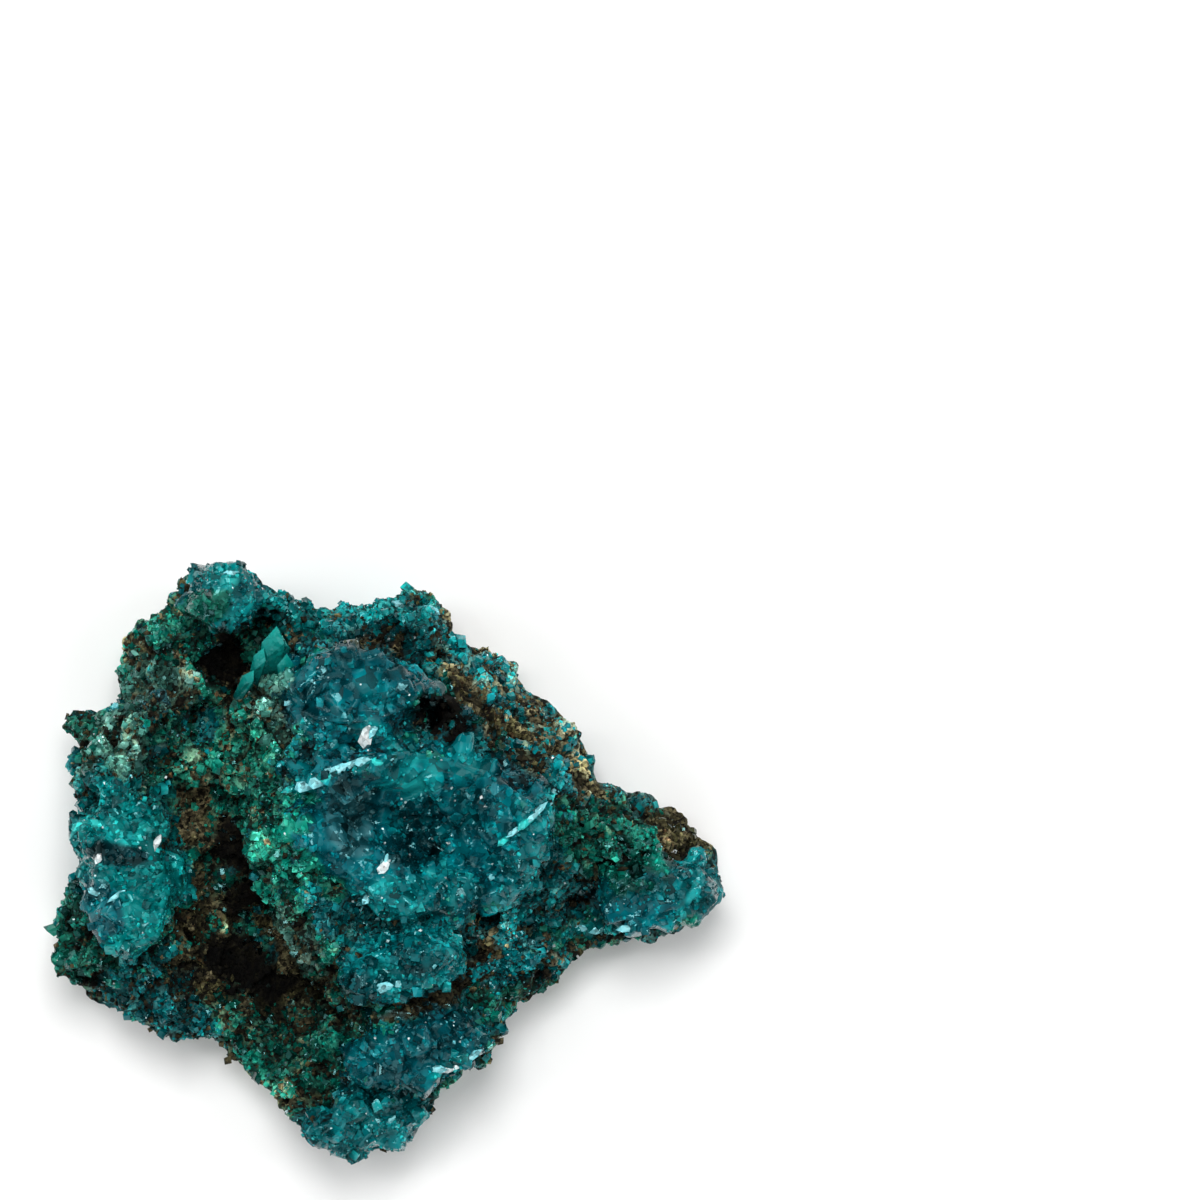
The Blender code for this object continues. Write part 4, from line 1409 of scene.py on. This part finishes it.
@dataclass
class PaintedHighlightFaces:
    """Single bright crystals that lie on the skin and catch the light; their pale colours are painted
    highlights.

    tilt is how far they lean at random. lift is how far each tip stands off the skin and
    thickness how high it is, as shares of its half width. uneven is how far their corners stray.
    """

    seed: int = 5
    tilt: float = 0.14
    lift: float = 0.75
    thickness: float = 0.7
    uneven: float = 0.18
    finish: CrystalFinish = CrystalFinish("bright_faces", clear=0.25, roughness=0.06, frost=0.1,
                                          shine=0.5)
    # Painted highlights: the glints and bright rims, laid as pale and white crystals
    glints: tuple[Glint, ...] = (
        Glint(-1.6, 13.6, 1.4, 0.8, 75, Tone.WHITE), Glint(-0.7, 14.6, 1.3, 0.4, 65),
        Glint(0.2, -0.5, 1.0, 0.6, 50, Tone.WHITE), Glint(0.6, 0.5, 0.6, 0.3, 80),
        Glint(-30.6, 0.6, 0.8, 0.5, 60, Tone.WHITE), Glint(-24.6, 1.9, 1.2, 0.4, 60, Tone.WHITE),
        Glint(31.5, 0.6, 0.5, 0.3, 20, Tone.WHITE),
        Glint(-9.6, 8.0, 1.3, 0.4, 20, Tone.BRIGHT), Glint(-8.2, 8.4, 1.3, 0.6, 15),
        Glint(-6.8, 8.8, 1.3, 0.7, 20), Glint(-5.6, 9.4, 1.3, 0.5, 28, Tone.BRIGHT),
        Glint(-4.4, 10.0, 1.4, 0.7, 30), Glint(-3.1, 10.6, 1.3, 0.5, 22),
        Glint(-1.8, 11.1, 1.2, 0.5, 12), Glint(-0.6, 11.0, 1.0, 0.4, -8, Tone.BRIGHT),
        Glint(13.4, 2.7, 1.5, 0.4, 42, Tone.BRIGHT), Glint(14.6, 3.7, 1.7, 0.35, 38),
        Glint(15.6, 4.6, 1.6, 0.45, 42, Tone.BRIGHT), Glint(16.6, 5.4, 1.7, 0.35, 45),
        Glint(17.6, 6.4, 1.6, 0.45, 48, Tone.BRIGHT), Glint(18.4, 7.6, 1.5, 0.4, 70),
        Glint(7.4, -22.4, 1.5, 0.5, 20, Tone.WHITE), Glint(9.4, -21.4, 1.4, 0.5, 35),
        Glint(5.6, -22.7, 1.2, 0.5, 0),
        Glint(0.2, -13.5, 1.1, 0.6, 10), Glint(1.9, -13.2, 1.0, 0.4, 0),
        Glint(-1.6, -3.8, 1.1, 0.4, 60), Glint(-2.6, -5.2, 0.8, 0.3, 70),
        Glint(-33.0, 3.9, 1.1, 0.5, 20, Tone.BRIGHT), Glint(-30.6, 4.0, 1.2, 0.5, -30, Tone.BRIGHT),
        Glint(-16.2, 31.2, 1.1, 0.5, 0), Glint(1.4, 27.8, 1.2, 0.5, 10),
        Glint(5.2, 27.2, 1.0, 0.5, -30), Glint(-10.0, 17.4, 0.9, 0.4, 40),
        Glint(21.0, -7.8, 1.4, 0.4, -15), Glint(23.6, -8.0, 1.4, 0.4, 15),
        Glint(26.6, -7.5, 1.4, 0.4, 8), Glint(-28.6, -3.6, 1.2, 0.3, 35),
        Glint(-31.2, -3.2, 0.8, 0.4, -20),
    )

    def build(self) -> bpy.types.Object:
        """Build them on whatever lies highest at each place.

        Returns:
            The new object.
        """
        rng = np.random.default_rng(self.seed)
        graph = bpy.context.evaluated_depsgraph_get()
        tips, kept = [], []
        for glint in self.glints:
            start = Vector((glint.x * MM, glint.y * MM, 0.1))
            hit, spot, *_ = bpy.context.scene.ray_cast(graph, start, Vector((0, 0, -1)))
            if hit and spot.z > MM:
                tips.append(np.array(spot) + [0, 0, self.lift * glint.half_width * MM])
                kept.append(glint)
        aims = np.array([0.0, 0.1, 1.0]) + self.tilt * rng.normal(size=(len(kept), 3))
        aims /= np.linalg.norm(aims, axis=1)[:, None]
        stretch = np.array([[glint.half_length, glint.half_width, self.thickness * glint.half_width]
                            for glint in kept])
        _, roots, ends = (np.array(shades) for shades in zip(*(glint.tone.colours() for glint in kept)))
        spins = np.radians([glint.turn + 90.0 for glint in kept])
        crop = CrystalCrop(np.array(tips), aims, np.full(len(kept), MM), stretch, roots, ends, spins,
                           self.uneven)
        piece = crop.piece("bright_faces", Habit.PRISM, self.finish.material())
        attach(piece, "root")
        LOG.info("%s: %d crystals", piece.name, len(kept))
        return piece


@dataclass(frozen=True)
class Point:
    """One crystal of the pointed group.

    place, from the group's top, and radius are in mm. lean is what its direction adds to the
    group's aim, in X and Y, and stretch scales its two widths and its length.
    """

    place: tuple[float, float, float]
    radius: float
    lean: tuple[float, float]
    stretch: tuple[float, float, float]


@dataclass
class PointedCrystal:
    """The paler, pointed group of crystals that stands alone beside the knob.

    top is how far its tip lies from the middle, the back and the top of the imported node, in mm.
    """

    node: str = "pointed_crystal"
    top: tuple[float, float, float] = (0.3, -0.5, -0.3)
    aim: tuple[float, float, float] = (0.12, 0.75, 0.75)
    spin: float = 0.4
    finish: CrystalFinish = CrystalFinish("pale_clear_dioptase", clear=0.4, roughness=0.05, frost=0.25,
                                          tint=(0.05, 0.8, 0.7), density=150.0, contrast=0.4)
    points: tuple[Point, ...] = (
        Point((0.0, 0.0, 0.0), 1.5, (0.0, 0.0), (1.1, 0.6, 2.3)),
        Point((-1.5, -2.4, -1.3), 0.9, (0.15, 0.05), (1.0, 0.7, 2.2)),
        Point((1.0, -3.0, -1.0), 1.0, (-0.1, 0.0), (1.1, 0.7, 2.0)),
        Point((-2.6, -4.8, -2.2), 0.8, (0.35, 0.0), (0.9, 0.7, 2.2)),
    )

    def build(self) -> bpy.types.Object:
        """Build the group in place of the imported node.

        Returns:
            The new object.
        """
        low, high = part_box(self.node)
        middle = (low + high) / 2
        top = np.array([middle.x, high.y, high.z]) + np.array(self.top) * MM
        count = len(self.points)
        tips = top + np.array([point.place for point in self.points]) * MM
        aims = np.array([np.add(self.aim, (*point.lean, 0.0)) for point in self.points])
        aims /= np.linalg.norm(aims, axis=1)[:, None]
        radii = np.array([point.radius for point in self.points]) * MM
        stretch = np.array([point.stretch for point in self.points])
        roots, ends = (np.tile(linear(code), (count, 1)) for code in ("004c4a", "14c0b4"))
        crop = CrystalCrop(tips, aims, radii, stretch, roots, ends, np.full(count, self.spin))
        piece = crop.piece("pointed_crystal_fine", Habit.PRISM, self.finish.material())
        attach(piece, "root")
        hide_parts(self.node)
        LOG.info("%s: %d crystals", piece.name, count)
        return piece


@dataclass
class Druse:
    """A crust of small crystals over the rock.

    count is how many are sown, and spacing how near two may stand, as a share of their radii
    together, where that matters. radii gives the smallest and largest radius, and side_limit the
    largest on steep sides, in mm. power makes small ones commoner. lean is how far they lean and
    lightness how light they are. tones holds their tones where these aren't the ground's. soil
    tells that they are grains of rock, which lie where the crust is thin.
    """

    name: str
    surface: Surface
    finish: CrystalFinish | RockFinish
    habit: Habit
    count: int
    radii: tuple[float, float]
    seed: int
    lean: float = 0.55
    power: float = 1.6
    spacing: float = 0.0
    lightness: float = 0.4
    side_limit: float = 0.3
    tones: dict[Tone, float] | None = None
    soil: bool = False

    def build(self) -> bpy.types.Object:
        """Build the crust.

        Returns:
            The new object.
        """
        sower = Sower(self.surface, self.seed)
        thrown = sower.throw(self.count, self._liking())
        low, high = self.radii
        radii = (low + (high - low) * sower.rng.random(self.count) ** self.power) * MM
        radii *= self.surface.ground.grain[thrown.vertex] * upright(thrown.normals, 0.4)
        steep = thrown.normals[:, 2] < 0.35
        radii = np.where(steep, np.minimum(radii, self.side_limit * MM), radii)
        if self.spacing:
            order = np.argsort(-radii)
            kept = order[sower.thin(thrown.spots[order], radii[order], self.spacing)]
            thrown, radii = thrown[kept], radii[kept]
        stand = sower.rng.uniform(0.2, 0.9, len(radii)) * upright(thrown.normals, 0.35)
        crop = sower.grow(thrown, radii, stand, self.lean, self.lightness, self.tones)
        piece = crop.piece(self.name, self.habit, self.finish.material())
        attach(piece, "root")
        LOG.info("%s: %d crystals", piece.name, len(radii))
        return piece

    def _liking(self) -> Array:
        """Work out how thickly the crystals stand over the surface.

        Returns:
            A weight for each vertex.
        """
        normals, points, ground = self.surface.normals, self.surface.points, self.surface.ground
        patches = (value_noise(points, size=1.7, seed=60 + self.seed)
                   + 0.6 * value_noise(points, size=0.8, seed=61))
        crust = smooth_step(ground.cover * 2.6 - 1.3 + patches * 0.8, -0.25, 0.25)
        crust *= 1.0 - 0.5 * ground.loose * (1.0 - smooth_step(ground.lumps.edge, -0.02, 0.12))
        # Few crystals are sown where shade is painted dark
        outside_painted_shade = smooth_step(ground.shade, 0.0, 0.3)
        if self.soil:
            crust, outside_painted_shade = 1.0 - 0.96 * crust, 1.0
        crust *= np.where(normals[:, 2] < -0.2, 0.25, 1.0) * (points[:, 2] > 0.4 * MM)
        return crust * (ground.small * self.surface.crust * outside_painted_shade)


@dataclass
class Studio:
    """The white floor, the soft lights and the camera straight above.

    view_x and view_y are the middle of the view and view_width its width, at focus_height over
    the floor, all in mm. lens and sensor are the camera's. sky_low and sky_top are the light
    from the sides and from overhead, and sky_band where the one passes into the other. Each
    lamp has a place in metres, a side in metres and a power in watts.
    """

    view_x: float = 23.5
    view_y: float = 28.3
    view_width: float = 132.0
    lens: float = 190.0
    sensor: float = 36.0
    focus_height: float = 10.0
    sky_low: float = 0.7
    sky_top: float = 0.05
    sky_band: tuple[float, float] = (0.45, 0.95)
    lamps: dict[str, tuple[tuple[float, float, float], float, float]] = field(default_factory=lambda: {
        "key": ((0.0, 0.22, 0.6), 0.26, 2.6),
        "left": ((-0.46, 0.05, 0.5), 0.3, 0.7),
        "right": ((0.46, 0.1, 0.5), 0.3, 0.7),
        "front": ((0.05, -0.4, 0.5), 0.3, 0.5),
        "glint": ((-0.2, 0.12, 0.6), 0.05, 0.25),
    })

    def build(self) -> None:
        """Build the floor, the lights, the world and the camera."""
        self._floor()
        self._world()
        for name, (place, size, power) in self.lamps.items():
            self._light(name, place, size, power)
        self._camera()

    def _floor(self) -> None:
        """Lay the floor, a hair below the specimen."""
        half, drop = 1.5, -0.00004
        points = np.array([[x * half, y * half, drop] for x, y in ((-1, -1), (1, -1), (1, 1), (-1, 1))])
        floor = new_mesh("floor", points, np.arange(4), np.array([0]), None, FloorFinish().material())

    def _world(self) -> None:
        """Light the scene softly from all round."""
        world = bpy.data.worlds.new("soft_studio")
        graph = Graph(world, "ShaderNodeOutputWorld")
        around = graph.node("ShaderNodeTexCoord", {}, {}, "Generated")
        height = graph.node("ShaderNodeSeparateXYZ", {}, {"Vector": around}, "Z")
        strength = graph.node("ShaderNodeMapRange", {"interpolation_type": "SMOOTHSTEP"}, {
            "Value": height, "From Min": self.sky_band[0], "From Max": self.sky_band[1],
            "To Min": self.sky_low, "To Max": self.sky_top})
        white = (1.0, 1.0, 1.0, 1.0)
        graph.close(graph.node("ShaderNodeBackground", {}, {"Color": white, "Strength": strength}))
        bpy.context.scene.world = world

    def _light(self, name: str, place: tuple[float, float, float], size: float,
               power: float) -> None:
        """Hang a square lamp that looks at the specimen.

        Args:
            name: The lamp's name.
            place: Where it hangs, in metres.
            size: The length of its side, in metres.
            power: Its power, in watts.
        """
        data = bpy.data.lights.new(name, "AREA")
        data.shape = "SQUARE"
        data.size = size
        data.energy = power
        lamp = bpy.data.objects.new(name, data)
        lamp.location = place
        lamp.rotation_euler = (Vector((0, 0, 0.01)) - lamp.location).to_track_quat("-Z", "Y").to_euler()
        lamp.visible_camera = False
        bpy.context.scene.collection.objects.link(lamp)

    def _camera(self) -> None:
        """Place the camera straight above, at the photograph's scale."""
        data = bpy.data.cameras.new("camera")
        data.lens = self.lens
        data.sensor_width = self.sensor
        data.clip_start = 0.01
        data.clip_end = 10.0
        camera = bpy.data.objects.new("camera", data)
        distance = self.view_width * self.lens / self.sensor
        camera.location = (self.view_x * MM, self.view_y * MM, (self.focus_height + distance) * MM)
        bpy.context.scene.collection.objects.link(camera)
        bpy.context.scene.camera = camera


def main() -> None:
    """Dress the specimen and set it in the studio."""
    logging.basicConfig(level=logging.INFO, format="%(message)s")
    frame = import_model()
    nodes = frame["nodes"]
    skin = RockSkin()
    clusters = Clusters(skin, nodes)
    skin.build(nodes["host_rock"], [nodes[name] for name in clusters.growths])
    masses = clusters.build()
    PaintedHighlightFaces().build()
    PointedCrystal().build()

    whole = Surface.join([skin.surface()] + masses)
    druse = CrystalFinish("druse_dioptase", clear=0.2, roughness=0.07, frost=0.15, shine=0.32)
    dust = CrystalFinish("fine_druse_dioptase", clear=0.0, roughness=0.12, frost=0.25, shine=0.22)
    Druse("druse_crystals", whole, druse, Habit.BLOCK, count=14500, radii=(0.25, 0.7), seed=21,
          spacing=0.3).build()
    Druse("small_druse_crystals", whole, dust, Habit.BLOCK, count=15000, radii=(0.16, 0.42),
          seed=22).build()
    Druse("fine_druse_crystals", whole, dust, Habit.GRAIN, count=16000, radii=(0.14, 0.32),
          seed=23).build()
    # Painted highlights: tiny pale and white crystals for the sparkles
    Druse("sparkling_crystals", whole, druse, Habit.GRAIN, count=2200, radii=(0.1, 0.22), seed=25,
          lightness=0.85, tones={Tone.PALE: 0.4, Tone.WHITE: 0.6}).build()
    Druse("rock_crumbs", skin.surface(), RockFinish("rock_crumbs"), Habit.GRAIN, count=16000,
          radii=(0.2, 0.55), seed=24, lightness=0.36, soil=True,
          tones={Tone.BROWN: 0.56, Tone.OLIVE: 0.26, Tone.RUST: 0.02, Tone.DUSTY: 0.16}).build()

    Studio().build()
    bpy.context.scene.view_settings.view_transform = "Standard"


if __name__ == "__main__":
    main()
